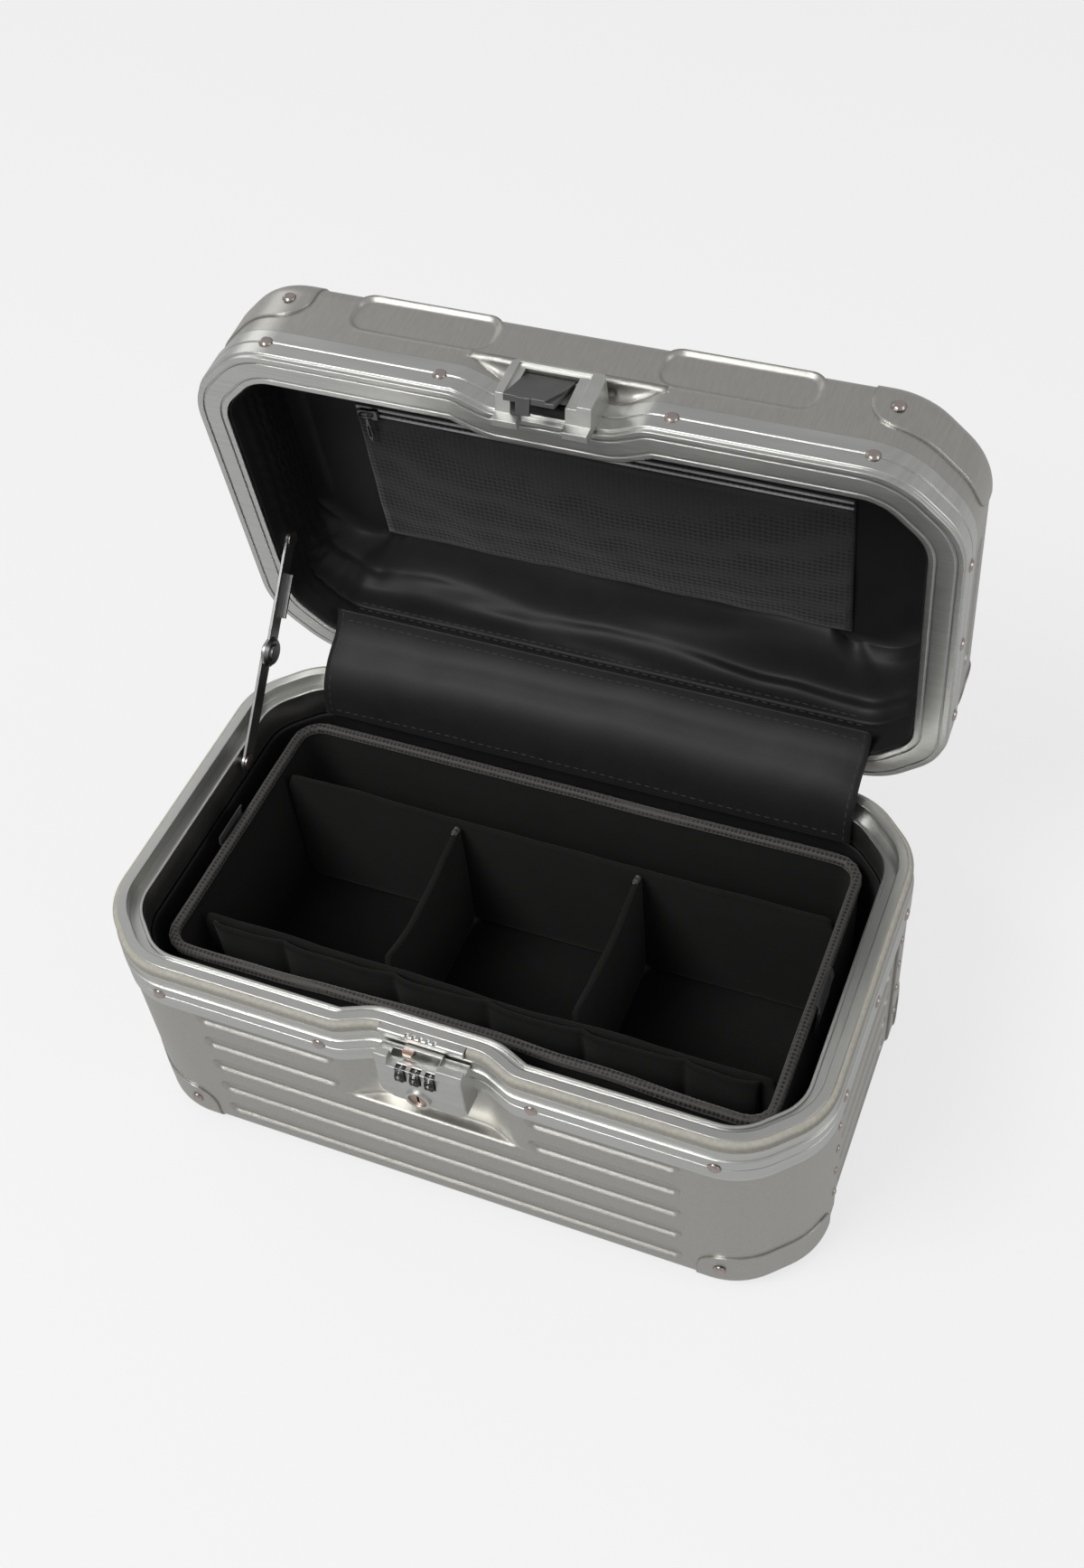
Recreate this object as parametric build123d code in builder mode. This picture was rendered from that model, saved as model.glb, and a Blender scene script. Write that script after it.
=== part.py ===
from build123d import *
import math
import os

# Vanity case in sheet aluminium, shown with its lid open and resting on the stay.
# X runs along the case, the front is -Y, +Z is up. The origin is on the surface under the case,
# below the middle of the base. The lid is modelled closed and then turned open about its hinge.

# Overall sizes of the case
case_width = 360.0
case_depth = 210.0
corner_chamfer = 30.0
corner_blend = 38.0
foot_height = 3.0
base_height = 131.6
lid_height = 54.6
lid_gap = 0.4
open_angle = 83.0

# Sheet and lining thicknesses
skin = 1.2
skin_inset = 1.0
bottom_radius = 8.0
lid_top_radius = 11.0
padding_inset = 5.4
lining_inset = 14.9
lining_thickness = 1.2
seam_y = 50.0
panel_lap = 8.0
floor_flange = 6.0

# Rim rail of the base
flange_thickness = 1.0
base_flange_bottom = 104.0
base_flange_top = 119.2
base_groove_height = 113.0
rail_upper_inset = 0.9
rail_overlap = 2.0
lip_outer_inset = 3.7
lip_inner_inset = 8.2
rail_step_height = 124.5
rail_step_thickness = 2.4
rail_inner_inset = 14.5
rail_inner_thickness = 1.6
rail_inner_top = 126.0
rail_inner_bottom = 109.0
seal_height = 5.8
seal_round = 2.2
edge_radius = 0.6
groove_width = 0.9
groove_depth = 0.4

# Rim rail of the lid: heights are measured up from the lid's rim plane
lid_flange_bottom = 2.4
lid_flange_top = 17.5
lid_groove_height = 9.7
lid_rim_thickness = 4.0
lid_inner_inset = 16.0
lid_inner_height = 18.0
lid_bead_inset = 12.4
lid_bead_depth = 0.8

# Inward jog of both rails at the lock
jog_depth = 7.0
jog_inner = 27.0
jog_outer = 43.0
jog_radius = 18.0
seat_bottom = 73.0

# Pressed grooves of the base panels and pressed fields of the lid
rib_pitch = 20.0
rib_height = 9.0
rib_depth = 1.5
rib_lowest = 17.0
rib_count = 5
rib_end = 121.0
rib_lock_end = 48.0
side_rib_length = 84.0
field_end = 107.0
field_lock_end = 38.0
field_height = 21.0
field_middle = 39.0
field_radius = 8.0

# Rivets
rivet_radius = 3.2
rivet_height = 1.1
rivet_far = 137.0
rivet_near = 52.5
rivet_side = 52.0
seam_rivet_radius = 2.2

# Corner guards
guard_height = 27.0
guard_thickness = 0.8
guard_start_x = 128.0
guard_start_y = 60.0
guard_corner = 14.0
guard_rivet_x = 139.5
guard_rivet_z = 19.0

# Hinges
hinge_offset = 3.5
hinge_height = 127.7
hinge_spacing = 200.0
leaf_width = 46.0
leaf_thickness = 1.2
knuckle_radius = 3.2
hinge_pin_radius = 1.5
running_gap = 0.05
knuckle_gap = 0.3

# Folding stay at the left
stay_x = 162.2
stay_base_y = 35.1
stay_base_z = 118.7
stay_lid_y = 32.5
stay_lid_z = 143.0
arm_thickness = 1.4
arm_width = 9.0
arm_gap = 0.5
arm_flange = 2.6
stud_radius = 2.4
stud_head_radius = 4.4
stud_head = 1.0
boss_radius = 8.0
boss_dome = 1.6

# Lock on the base
lock_width = 43.0
lock_foot_width = 34.0
lock_bottom = 88.0
lock_bend = 104.0
lock_top = 125.8
lock_proud = 11.5
lock_bevel = 4.0
lock_corner = 4.0
window_x = -3.0
window_width = 24.0
window_depth = 9.0
window_floor = 121.5
window_well = 116.0
window_well_depth = 3.2
dial_x = -1.0
dial_radius = 4.4
dial_width = 4.2
dial_pitch = 7.3
dial_height = 116.8
dial_sink = 1.6
dial_gap = 0.4
axle_radius = 1.0
notch_count = 10
notch_radius = 0.5
key_x = -2.0
key_radius = 4.6
key_ring = 1.6
key_ring_rise = 1.0
key_height = 99.5
key_depth = 6.0
key_slot = 1.2
bolt_x = -6.8
bolt_width = 5.5
bolt_height = 2.0
bolt_reach = 3.2
bolt_travel = 3.0
striker_x = -2.0
striker_width = 42.0
striker_height = 4.2
striker_depth = 4.4
striker_rise = 0.2
tooth_count = 5
tooth_pitch = 3.4
tooth_depth = 1.0

# Latch on the lid: heights are measured up from the lid's rim plane
latch_width = 43.0
latch_top = 21.6
latch_proud = 13.5
latch_back = 1.2
latch_toe = -0.5
latch_radius = 6.0
latch_step = 3.2
latch_step_depth = 1.4
foot_low = -8.4
foot_high = -3.4
foot_front = 5.4
foot_back = 1.4
foot_inner = 10.0
foot_room = 0.6
lever_x = -3.0
lever_width = 22.6
lever_low = -9.4
lever_pivot = 15.6
lever_thickness = 2.8
lever_recess = 3.0
lever_pin_radius = 0.8
lever_open = 23.0
lever_gap = 0.4
lever_bevel = 4.0
tongue_x = -5.4
tongue_width = 6.4
tongue_reach = 5.0
tongue_thickness = 1.4
buffer_radius = 2.8
buffer_height = 4.2

# Carry handle on the lid
handle_length = 128.0
handle_depth = 40.0
grip_width = 13.0
handle_thickness = 9.0
handle_edge = 2.0
handle_rise = 7.2
handle_pivot_y = -14.0
mount_width = 20.0
handle_pin_radius = 2.0

# Organiser insert
box_inset_x = 26.0
box_inset_y = 25.0
box_top = 108.0
box_wall = 4.0
box_floor = 4.0
long_divider_y = 46.0
front_partition_y = -47.0
divider_x = 49.0
divider_sag = 5.0
partition_top = 102.0
box_corner = 14.0
pocket_count = 6
pocket_reach = 140.0
pocket_bulge = 9.0
pocket_cloth = 1.2
pocket_low = 40.0
pocket_high = 96.0
loop_y = 0.0
loop_width = 22.0
loop_thickness = 1.6
loop_drop = 20.0
loop_rise = 8.0
floor_padding = 5.0
fabric_gap = 0.4

# Lid pocket and zip: depths are measured down from the inside of the lid's top
zip_left = -124.0
zip_right = 122.0
zip_y = -36.0
zip_end_room = 2.0
zip_width = 7.0
zip_thickness = 1.4
pocket_depth = 84.0
pocket_thickness = 1.6
slider_length = 11.0
slider_width = 6.0
slider_height = 2.4
pull_length = 17.0
pull_thickness = 1.2

# Fabric flap over the hinges
flap_width = 286.0
flap_room = 2.3
flap_thickness = 1.6
flap_low = 100.0
flap_bend_y = 108.4
flap_bend_z = 147.0
flap_high_y = 117.0
flap_high = 160.0

# Feet
foot_x = 128.0
foot_y = 66.0
foot_radius = 9.0
foot_edge = 0.8

half_w = case_width / 2
half_d = case_depth / 2
shell_bottom = foot_height
skin_top = base_flange_top - rail_overlap
rim_plane = base_height + lid_gap
lid_top = rim_plane + lid_height
hinge_y = half_d + hinge_offset
hinge_axis = Axis((0, hinge_y, hinge_height), (1, 0, 0))
skin_inner = skin_inset + skin


def outline(inset, jog=True):
    """Plan of the case moved inwards by inset: a rectangle with blended corners and the jog at the lock."""
    leg = corner_chamfer - inset * (2 - math.sqrt(2))
    w = half_w - inset
    d = half_d - inset
    turn = math.atan2(jog_depth, jog_outer - jog_inner)
    far = jog_outer + inset * math.tan(turn / 2)
    near = jog_inner + inset * math.tan(turn / 2)
    corners = [(-w + leg, -d), (-w, -d + leg), (-w, d - leg), (-w + leg, d)]
    corners += [(w - leg, d), (w, d - leg), (w, -d + leg), (w - leg, -d)]
    seat = [(far, -d), (near, -d + jog_depth), (-near, -d + jog_depth), (-far, -d)]
    with BuildSketch() as plan:
        with BuildLine():
            Polyline(*corners, *(seat if jog else []), close=True)
        make_face()
        fillet([v for v in plan.vertices() if abs(v.X) > far + 1.0], corner_blend - inset)
        if jog:
            fillet([v for v in plan.vertices() if near + 1.0 < abs(v.X) < far + 1.0 and v.Y < 0], jog_radius - inset)
            fillet([v for v in plan.vertices() if abs(v.X) < near + 1.0 and v.Y < 0], jog_radius + inset)
    return plan.sketch


def ring(outer, inner, low, high, jog=True):
    """Closed band between two insets of the plan, from one height to another."""
    with BuildPart() as band:
        with BuildSketch(Plane.XY.offset(low)):
            add(outline(outer, jog))
            add(outline(inner, jog), mode=Mode.SUBTRACT)
        extrude(amount=high - low)
    return band.part


def slab(inset, low, high, jog=True):
    """Solid plate with the plan of the case at one inset, from one height to another."""
    with BuildPart() as plate:
        with BuildSketch(Plane.XY.offset(low)):
            add(outline(inset, jog))
        extrude(amount=high - low)
    return plate.part


def block(x, y, z):
    """Box between three pairs of limits, kept out of any open part."""
    middle = Vector((x[0] + x[1]) / 2, (y[0] + y[1]) / 2, (z[0] + z[1]) / 2)
    return Pos(middle) * Box(x[1] - x[0], y[1] - y[0], z[1] - z[0], mode=Mode.PRIVATE)


def rod(start, direction, radius, length):
    """Round bar from a point along a direction, kept out of any open part."""
    return Plane(origin=start, z_dir=direction) * Cylinder(
        radius, length, align=(Align.CENTER, Align.CENTER, Align.MIN), mode=Mode.PRIVATE
    )


def rivet(point, direction, radius, rise=rivet_height):
    """Low rivet head standing on a point, kept out of any open part."""
    return Plane(origin=point, z_dir=direction) * Cone(
        radius, radius - rise, rise, align=(Align.CENTER, Align.CENTER, Align.MIN), mode=Mode.PRIVATE
    )


def opened(piece):
    """Turns a piece of the closed lid to the open rest pose."""
    return piece.rotate(hinge_axis, -open_angle)


def save(piece, name):
    """Labels a finished piece and writes it."""
    piece.label = name
    export_step(piece, "parts/" + name + ".step")


def grooves(side_plane, spans, depth, height, radius_share=0.5):
    """Backing and pressed cut of a row of grooves; spans lists (height, middle, length)."""
    with BuildPart() as backing:
        for level, middle, length in spans:
            with BuildSketch(side_plane):
                with Locations((middle, level)):
                    RectangleRounded(length + 2 * skin, height + 2 * skin, height * radius_share)
        extrude(amount=-depth - skin)
    with BuildPart() as press:
        for level, middle, length in spans:
            with BuildSketch(side_plane):
                with Locations((middle, level)):
                    RectangleRounded(length, height, height * radius_share - 0.01)
        extrude(amount=-depth, taper=35)
    return backing.part, press.part


os.makedirs("parts", exist_ok=True)

# Base skin: the outer tub of front and rear wraps, and an inner tub that the side panels are cut from
front_plane = Plane(origin=(0, -half_d + skin_inset, 0), x_dir=(1, 0, 0), z_dir=(0, -1, 0))
rear_plane = Plane(origin=(0, half_d - skin_inset, 0), x_dir=(-1, 0, 0), z_dir=(0, 1, 0))
left_plane = Plane(origin=(-half_w + skin_inner, 0, 0), x_dir=(0, -1, 0), z_dir=(-1, 0, 0))
right_plane = Plane(origin=(half_w - skin_inner, 0, 0), x_dir=(0, 1, 0), z_dir=(1, 0, 0))
rib_levels = [rib_lowest + shell_bottom + rib_pitch * i for i in range(rib_count)]
long_levels = rib_levels[: rib_count - 2]
split_levels = rib_levels[rib_count - 2 :]
half_rib = rib_end - rib_lock_end
half_middle = (rib_end + rib_lock_end) / 2
long_spans = [(level, 0.0, 2 * rib_end) for level in long_levels]
split_spans = [(level, side * half_middle, half_rib) for level in split_levels for side in (-1, 1)]
rear_spans = [(level, 0.0, 2 * rib_end) for level in rib_levels]
side_spans = [(level, 0.0, side_rib_length) for level in rib_levels]
floor_hole = skin_inset + bottom_radius + floor_flange


def hull(inset, bottom, radius, cut=0.0):
    """Solid body of the base with a rounded bottom edge and the jogged seat for the lock."""
    with BuildPart() as body:
        with BuildSketch(Plane.XY.offset(bottom)):
            add(outline(inset, False))
        extrude(amount=seat_bottom - bottom - cut)
        fillet(body.faces().sort_by(Axis.Z)[0].edges(), radius)
        with BuildSketch(Plane.XY.offset(seat_bottom - cut)):
            add(outline(inset, True))
        extrude(amount=skin_top - seat_bottom + cut)
    return body.part


def tub(inset, bottom):
    """Open tub of sheet with a rounded bottom edge, the seat for the lock and a hole in its floor."""
    with BuildPart() as sheet:
        add(hull(inset, bottom, bottom_radius))
        add(hull(inset + skin, bottom + skin, bottom_radius - skin, skin), mode=Mode.SUBTRACT)
        with BuildSketch(Plane.XY.offset(bottom)):
            add(outline(floor_hole, False))
        extrude(amount=skin, mode=Mode.SUBTRACT)
    return sheet.part


outer_tub = tub(skin_inset, shell_bottom)
inner_tub = tub(skin_inner, shell_bottom + skin)
front_backing, front_press = grooves(front_plane, long_spans + split_spans, rib_depth, rib_height)
rear_backing, rear_press = grooves(rear_plane, rear_spans, rib_depth, rib_height)
left_backing, left_press = grooves(left_plane, side_spans, rib_depth, rib_height)
right_backing, right_press = grooves(right_plane, side_spans, rib_depth, rib_height)

with BuildPart() as base_front_shell:
    add(outer_tub)
    split(bisect_by=Plane(origin=(0, -seam_y, 0), z_dir=(0, -1, 0)))
    add(front_backing)
    add(front_press, mode=Mode.SUBTRACT)
save(base_front_shell.part, "base_front_shell")

with BuildPart() as base_rear_shell:
    add(outer_tub)
    split(bisect_by=Plane(origin=(0, seam_y, 0), z_dir=(0, 1, 0)))
    add(rear_backing)
    add(rear_press, mode=Mode.SUBTRACT)
save(base_rear_shell.part, "base_rear_shell")

side_room = ((-seam_y - panel_lap, seam_y + panel_lap), (0, base_height))

with BuildPart() as base_left_panel:
    add(inner_tub)
    add(block((-half_w, -half_w / 2), *side_room), mode=Mode.INTERSECT)
    add(left_backing)
    add(left_press, mode=Mode.SUBTRACT)
save(base_left_panel.part, "base_left_panel")

with BuildPart() as base_right_panel:
    add(inner_tub)
    add(block((half_w / 2, half_w), *side_room), mode=Mode.INTERSECT)
    add(right_backing)
    add(right_press, mode=Mode.SUBTRACT)
save(base_right_panel.part, "base_right_panel")

# Rim rail of the base: outer flange over the skin, upper wall with a lip, inner step and inner flange
with BuildPart() as base_frame:
    add(ring(0, flange_thickness, base_flange_bottom, base_flange_top))
    flange_edge = [f for f in base_frame.faces().filter_by(Axis.Z) if f.center().Z > base_flange_bottom + 1]
    fillet(flange_edge[0].outer_wire().edges(), edge_radius)
    add(ring(rail_upper_inset, lip_inner_inset, skin_top, base_height - seal_height))
    add(ring(lip_outer_inset, lip_inner_inset, base_height - seal_height, base_height))
    step_low = rail_step_height - rail_step_thickness
    add(ring(lip_inner_inset, rail_inner_inset, step_low, rail_step_height))
    wall_inset = rail_inner_inset - rail_inner_thickness
    add(ring(wall_inset, rail_inner_inset, rail_inner_bottom, rail_inner_top))
    groove_low = base_groove_height - groove_width / 2
    add(ring(0, groove_depth, groove_low, groove_low + groove_width), mode=Mode.SUBTRACT)
save(base_frame.part, "base_frame")

with BuildPart() as base_seal:
    add(ring(rail_upper_inset, lip_outer_inset, base_height - seal_height, base_height - edge_radius))
    seal_top = base_seal.faces().sort_by(Axis.Z)[-1]
    fillet(seal_top.outer_wire().edges(), seal_round)
    seal_gap = striker_width / 2 + fabric_gap
    seal_cut = (striker_x - seal_gap, striker_x + seal_gap)
    add(block(seal_cut, (-half_d, -half_d + 2 * jog_depth), (base_height - seal_height, base_height)), mode=Mode.SUBTRACT)
save(base_seal.part, "base_seal")

# Corner guards of base and lid: shallow caps over the corners of the sheet
def guards(inset, low, high, radius, upwards):
    """Four caps that wrap the corners of one end of the case."""
    with BuildPart() as caps:
        with BuildSketch(Plane.XY.offset(low)):
            add(outline(inset - guard_thickness, False))
        extrude(amount=high - low)
        end = caps.faces().sort_by(Axis.Z)[-1 if upwards else 0]
        fillet(end.edges(), radius + guard_thickness)
    with BuildPart() as core:
        inner_low = low if upwards else low + guard_thickness
        inner_high = high - guard_thickness if upwards else high
        with BuildSketch(Plane.XY.offset(inner_low)):
            add(outline(inset, False))
        extrude(amount=inner_high - inner_low)
        end = core.faces().sort_by(Axis.Z)[-1 if upwards else 0]
        fillet(end.edges(), radius)
        with BuildSketch(Plane.XY.offset(low)):
            add(outline(inset + radius + floor_flange, False))
        extrude(amount=high - low)
    rise = high - low
    views = ((guard_start_x, case_width, Plane.XZ, Mode.ADD), (guard_start_y, case_depth, Plane.YZ, Mode.INTERSECT))
    with BuildPart() as window:
        for start, span, plane, mode in views:
            with BuildSketch(plane.offset(-case_width)) as face:
                for side in (-1, 1):
                    with Locations((side * (start + span / 2), (low + high) / 2)):
                        Rectangle(span, rise)
                near = [v for v in face.vertices() if abs(abs(v.X) - start) < 0.1]
                fillet([v for v in near if (v.Y < low + 1) == upwards], guard_corner)
            extrude(amount=2 * case_width, mode=mode)
    with BuildPart() as corner_caps:
        add(caps.part)
        add(core.part, mode=Mode.SUBTRACT)
        add(window.part, mode=Mode.INTERSECT)
    return corner_caps.part


base_guards = guards(skin_inset, shell_bottom - guard_thickness, guard_height + shell_bottom, bottom_radius, False)
save(base_guards, "base_corner_guards")

bottom_panel_inset = skin_inner + bottom_radius + 0.4
bottom_panel_low = shell_bottom + 2 * skin
bottom_panel_top = bottom_panel_low + skin
save(slab(bottom_panel_inset, bottom_panel_low, bottom_panel_top, False), "base_bottom_panel")

# Skin of the lid: a shallow cap with pressed fields and the seat for the latch
lid_seat_top = rim_plane + latch_top + 3.0
lid_skin_low = rim_plane + lid_rim_thickness + 0.2


def lid_hull(inset, radius, drop):
    """Solid body of the closed lid's cap with a rounded top edge and the jogged seat."""
    with BuildPart() as body:
        with BuildSketch(Plane.XY.offset(lid_skin_low)):
            add(outline(inset, True))
        extrude(amount=lid_seat_top - lid_skin_low - drop)
        with BuildSketch(Plane.XY.offset(lid_seat_top - drop)):
            add(outline(inset, False))
        extrude(amount=lid_top - lid_seat_top)
        fillet(body.faces().sort_by(Axis.Z)[-1].edges(), radius)
    return body.part


field_half = (field_end - field_lock_end) / 2
field_spans = [(rim_plane + field_middle, side * (field_end + field_lock_end) / 2, 2 * field_half) for side in (-1, 1)]
field_share = field_radius / field_height
lid_backing, lid_press = grooves(front_plane, field_spans, rib_depth, field_height, field_share)
lid_left_plane = Plane(origin=(-half_w + skin_inset, 0, 0), x_dir=(0, -1, 0), z_dir=(-1, 0, 0))
lid_right_plane = Plane(origin=(half_w - skin_inset, 0, 0), x_dir=(0, 1, 0), z_dir=(1, 0, 0))
lid_side_span = [(rim_plane + field_middle - 6.0, 0.0, side_rib_length)]

with BuildPart() as lid_shell:
    add(lid_hull(skin_inset, lid_top_radius, 0.0))
    add(lid_hull(skin_inner, lid_top_radius - skin, skin), mode=Mode.SUBTRACT)
    add(lid_backing)
    add(lid_press, mode=Mode.SUBTRACT)
    for side_plane in (lid_left_plane, lid_right_plane):
        side_backing, side_press = grooves(side_plane, lid_side_span, rib_depth, rib_height)
        add(side_backing)
        add(side_press, mode=Mode.SUBTRACT)
save(opened(lid_shell.part), "lid_shell")

# Rim rail of the lid
with BuildPart() as lid_frame:
    add(ring(0, flange_thickness, rim_plane + lid_flange_bottom, rim_plane + lid_flange_top))
    rim_edge = [f for f in lid_frame.faces().filter_by(Axis.Z) if f.center().Z < rim_plane + lid_flange_bottom + 1]
    fillet(rim_edge[0].outer_wire().edges(), edge_radius)
    add(ring(rail_upper_inset, lid_inner_inset, rim_plane, rim_plane + lid_rim_thickness))
    lid_wall_inset = lid_inner_inset - rail_inner_thickness
    add(ring(lid_wall_inset, lid_inner_inset, rim_plane, rim_plane + lid_inner_height))
    lid_groove_low = rim_plane + lid_groove_height - groove_width / 2
    add(ring(0, groove_depth, lid_groove_low, lid_groove_low + groove_width), mode=Mode.SUBTRACT)
    for bead in (lip_outer_inset, lid_bead_inset):
        add(ring(bead, bead + groove_width, rim_plane, rim_plane + lid_bead_depth), mode=Mode.SUBTRACT)
save(opened(lid_frame.part), "lid_frame")

# Corner guards of the lid
lid_guard_low = lid_top - guard_height
lid_guards = guards(skin_inset, lid_guard_low, lid_top + guard_thickness, lid_top_radius, True)
save(opened(lid_guards), "lid_corner_guards")

# Rivets through both rails, along the lapped seams, in the guards and in the hinge leaves
def rail_spots(level):
    """Points and directions of the rivets round one rail, on its groove."""
    spots = []
    for x in (-rivet_far, -rivet_near, rivet_near, rivet_far):
        for end in (-1, 1):
            spots.append(((x, end * half_d, level), (0, end, 0)))
    for y in (-rivet_side, 0.0, rivet_side):
        for side in (-1, 1):
            spots.append(((side * half_w, y, level), (side, 0, 0)))
    return spots


def leaf_spots(level):
    """Points and directions of the rivets in the hinge leaves, at one height."""
    spots = []
    for hinge_x in (-hinge_spacing / 2, hinge_spacing / 2):
        for side in (-1, 1):
            spots.append(((hinge_x + side * leaf_width / 3, half_d + leaf_thickness, level), (0, 1, 0)))
    return spots


seam_levels = [level + rib_pitch / 2 for level in rib_levels[: rib_count - 1]]

with BuildPart() as base_rivets:
    for point, direction in rail_spots(base_groove_height) + leaf_spots(base_groove_height):
        add(rivet(point, direction, rivet_radius))
    for level in seam_levels:
        for side in (-1, 1):
            for end in (-1, 1):
                spot = (side * (half_w - skin_inset), end * (seam_y + panel_lap / 2), level)
                add(rivet(spot, (side, 0, 0), seam_rivet_radius))
    for side in (-1, 1):
        for end in (-1, 1):
            spot = (side * guard_rivet_x, end * (half_d - skin_inset + guard_thickness), guard_rivet_z)
            add(rivet(spot, (0, end, 0), rivet_radius))
save(base_rivets.part, "base_rivets")

lid_rivet_level = rim_plane + lid_groove_height
with BuildPart() as lid_rivets:
    for point, direction in rail_spots(lid_rivet_level) + leaf_spots(lid_rivet_level):
        add(rivet(point, direction, rivet_radius))
    for side in (-1, 1):
        for end in (-1, 1):
            spot = (side * guard_rivet_x, end * (half_d - skin_inset + guard_thickness), rim_plane + field_middle)
            add(rivet(spot, (0, end, 0), rivet_radius))
save(opened(lid_rivets.part), "lid_rivets")

# Feet under the base
with BuildPart() as feet:
    with BuildSketch(Plane.XY):
        for side in (-1, 1):
            for end in (-1, 1):
                with Locations((side * foot_x, end * foot_y)):
                    Circle(foot_radius)
    extrude(amount=foot_height)
    chamfer(feet.edges().filter_by(lambda e: e.center().Z < foot_edge), foot_edge)
save(feet.part, "feet")

# Padding and lining of the base
pad_low = shell_bottom + bottom_radius - 2.0
pad_floor = pad_low + floor_padding
pad_inner = lining_inset - fabric_gap
with BuildPart() as base_padding:
    add(ring(padding_inset, pad_inner, pad_low, rail_inner_bottom - fabric_gap))
    add(slab(pad_inner, pad_low, pad_floor))
save(base_padding.part, "base_padding")

lining_floor = pad_floor + fabric_gap
with BuildPart() as base_lining:
    add(ring(lining_inset, lining_inset + lining_thickness, lining_floor, rail_inner_bottom - fabric_gap))
    add(slab(lining_inset + lining_thickness, lining_floor, lining_floor + lining_thickness))
save(base_lining.part, "base_lining")

# Padding and lining of the lid
lid_flange_end = rim_plane + lid_inner_height
lid_pad_low = lid_skin_low
lid_pad_roof = lid_top - skin - fabric_gap
lid_ceiling = lid_pad_roof - floor_padding
with BuildPart() as lid_padding:
    lid_pad_inner = lid_inner_inset - rail_inner_thickness - fabric_gap
    add(ring(padding_inset, lid_pad_inner, lid_pad_low, lid_ceiling + fabric_gap))
    add(slab(lid_top_radius, lid_ceiling, lid_pad_roof))
save(opened(lid_padding.part), "lid_padding")

lid_lining_inset = lid_inner_inset - rail_inner_thickness
lid_lining_top = lid_ceiling - fabric_gap
with BuildPart() as lid_lining:
    lining_low = lid_flange_end + fabric_gap
    add(ring(lid_lining_inset, lid_lining_inset + lining_thickness, lining_low, lid_lining_top))
    add(slab(lid_lining_inset + lining_thickness, lid_lining_top - lining_thickness, lid_lining_top))
save(opened(lid_lining.part), "lid_lining")

# Organiser insert: a padded tray, its dividers, a strip of elastic pockets and two lifting loops
box_x = half_w - box_inset_x
box_y = half_d - box_inset_y
box_bottom = lining_floor + lining_thickness + fabric_gap
box_inside_x = box_x - box_wall
box_inside_y = box_y - box_wall
with BuildPart() as organiser_box:
    with BuildSketch(Plane.XY.offset(box_bottom)):
        RectangleRounded(2 * box_x, 2 * box_y, box_corner)
    extrude(amount=box_top - box_bottom)
    with BuildSketch(Plane.XY.offset(box_bottom + box_floor)):
        RectangleRounded(2 * box_inside_x, 2 * box_inside_y, box_corner - box_wall)
    extrude(amount=box_top - box_bottom, mode=Mode.SUBTRACT)
    rim = [e for e in organiser_box.edges() if e.center().Z > box_top - 0.1]
    fillet(rim, box_wall / 2 - fabric_gap)
save(organiser_box.part, "organiser_box")


def divider(x, y, top):
    """Padded upright wall between limits in plan, standing in the tray, with a rounded top."""
    low = box_bottom + box_floor + fabric_gap / 2
    with BuildPart() as wall:
        add(block(x, y, (low, top)))
        crest = wall.faces().sort_by(Axis.Z)[-1]
        along = Axis.X if x[1] - x[0] > y[1] - y[0] else Axis.Y
        fillet(crest.edges().filter_by(along), box_wall / 2 - fabric_gap)
    return wall.part


reach_x = box_inside_x - fabric_gap / 2
wall_half = box_wall / 2
back_limits = (long_divider_y - wall_half, long_divider_y + wall_half)
front_limits = (front_partition_y - wall_half, front_partition_y + wall_half)
between = (front_limits[1] + fabric_gap / 2, back_limits[0] - fabric_gap / 2)
save(divider((-reach_x, reach_x), back_limits, box_top - divider_sag), "long_divider")
save(divider((-reach_x, reach_x), front_limits, partition_top), "front_partition")
for side, side_name in ((-1, "left"), (1, "right")):
    limits = (side * divider_x - wall_half, side * divider_x + wall_half)
    save(divider(limits, between, box_top - divider_sag), "cross_divider_" + side_name)

with BuildPart() as pocket_strip:
    strip_back = front_limits[0] - fabric_gap / 2
    strip_front = strip_back - pocket_cloth
    bay = 2 * pocket_reach / pocket_count
    starts = [-pocket_reach + i * bay for i in range(pocket_count)]
    with BuildSketch(Plane.XY.offset(pocket_low)):
        with BuildLine():
            for x in starts:
                ThreePointArc((x, strip_front), (x + bay / 2, strip_front - pocket_bulge), (x + bay, strip_front))
            Line((pocket_reach, strip_front), (pocket_reach, strip_back))
            for x in reversed(starts):
                ThreePointArc((x + bay, strip_back), (x + bay / 2, strip_back - pocket_bulge), (x, strip_back))
            Line((-pocket_reach, strip_back), (-pocket_reach, strip_front))
        make_face()
    extrude(amount=pocket_high - pocket_low)
save(pocket_strip.part, "pocket_strip")

with BuildPart() as organiser_loops:
    for side in (-1, 1):
        near = side * (box_x + fabric_gap / 2)
        limits = tuple(sorted((near, near + side * loop_thickness)))
        add(block(limits, (loop_y - loop_width / 2, loop_y + loop_width / 2), (box_top - loop_drop, box_top + loop_rise)))
save(organiser_loops.part, "organiser_loops")

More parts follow.
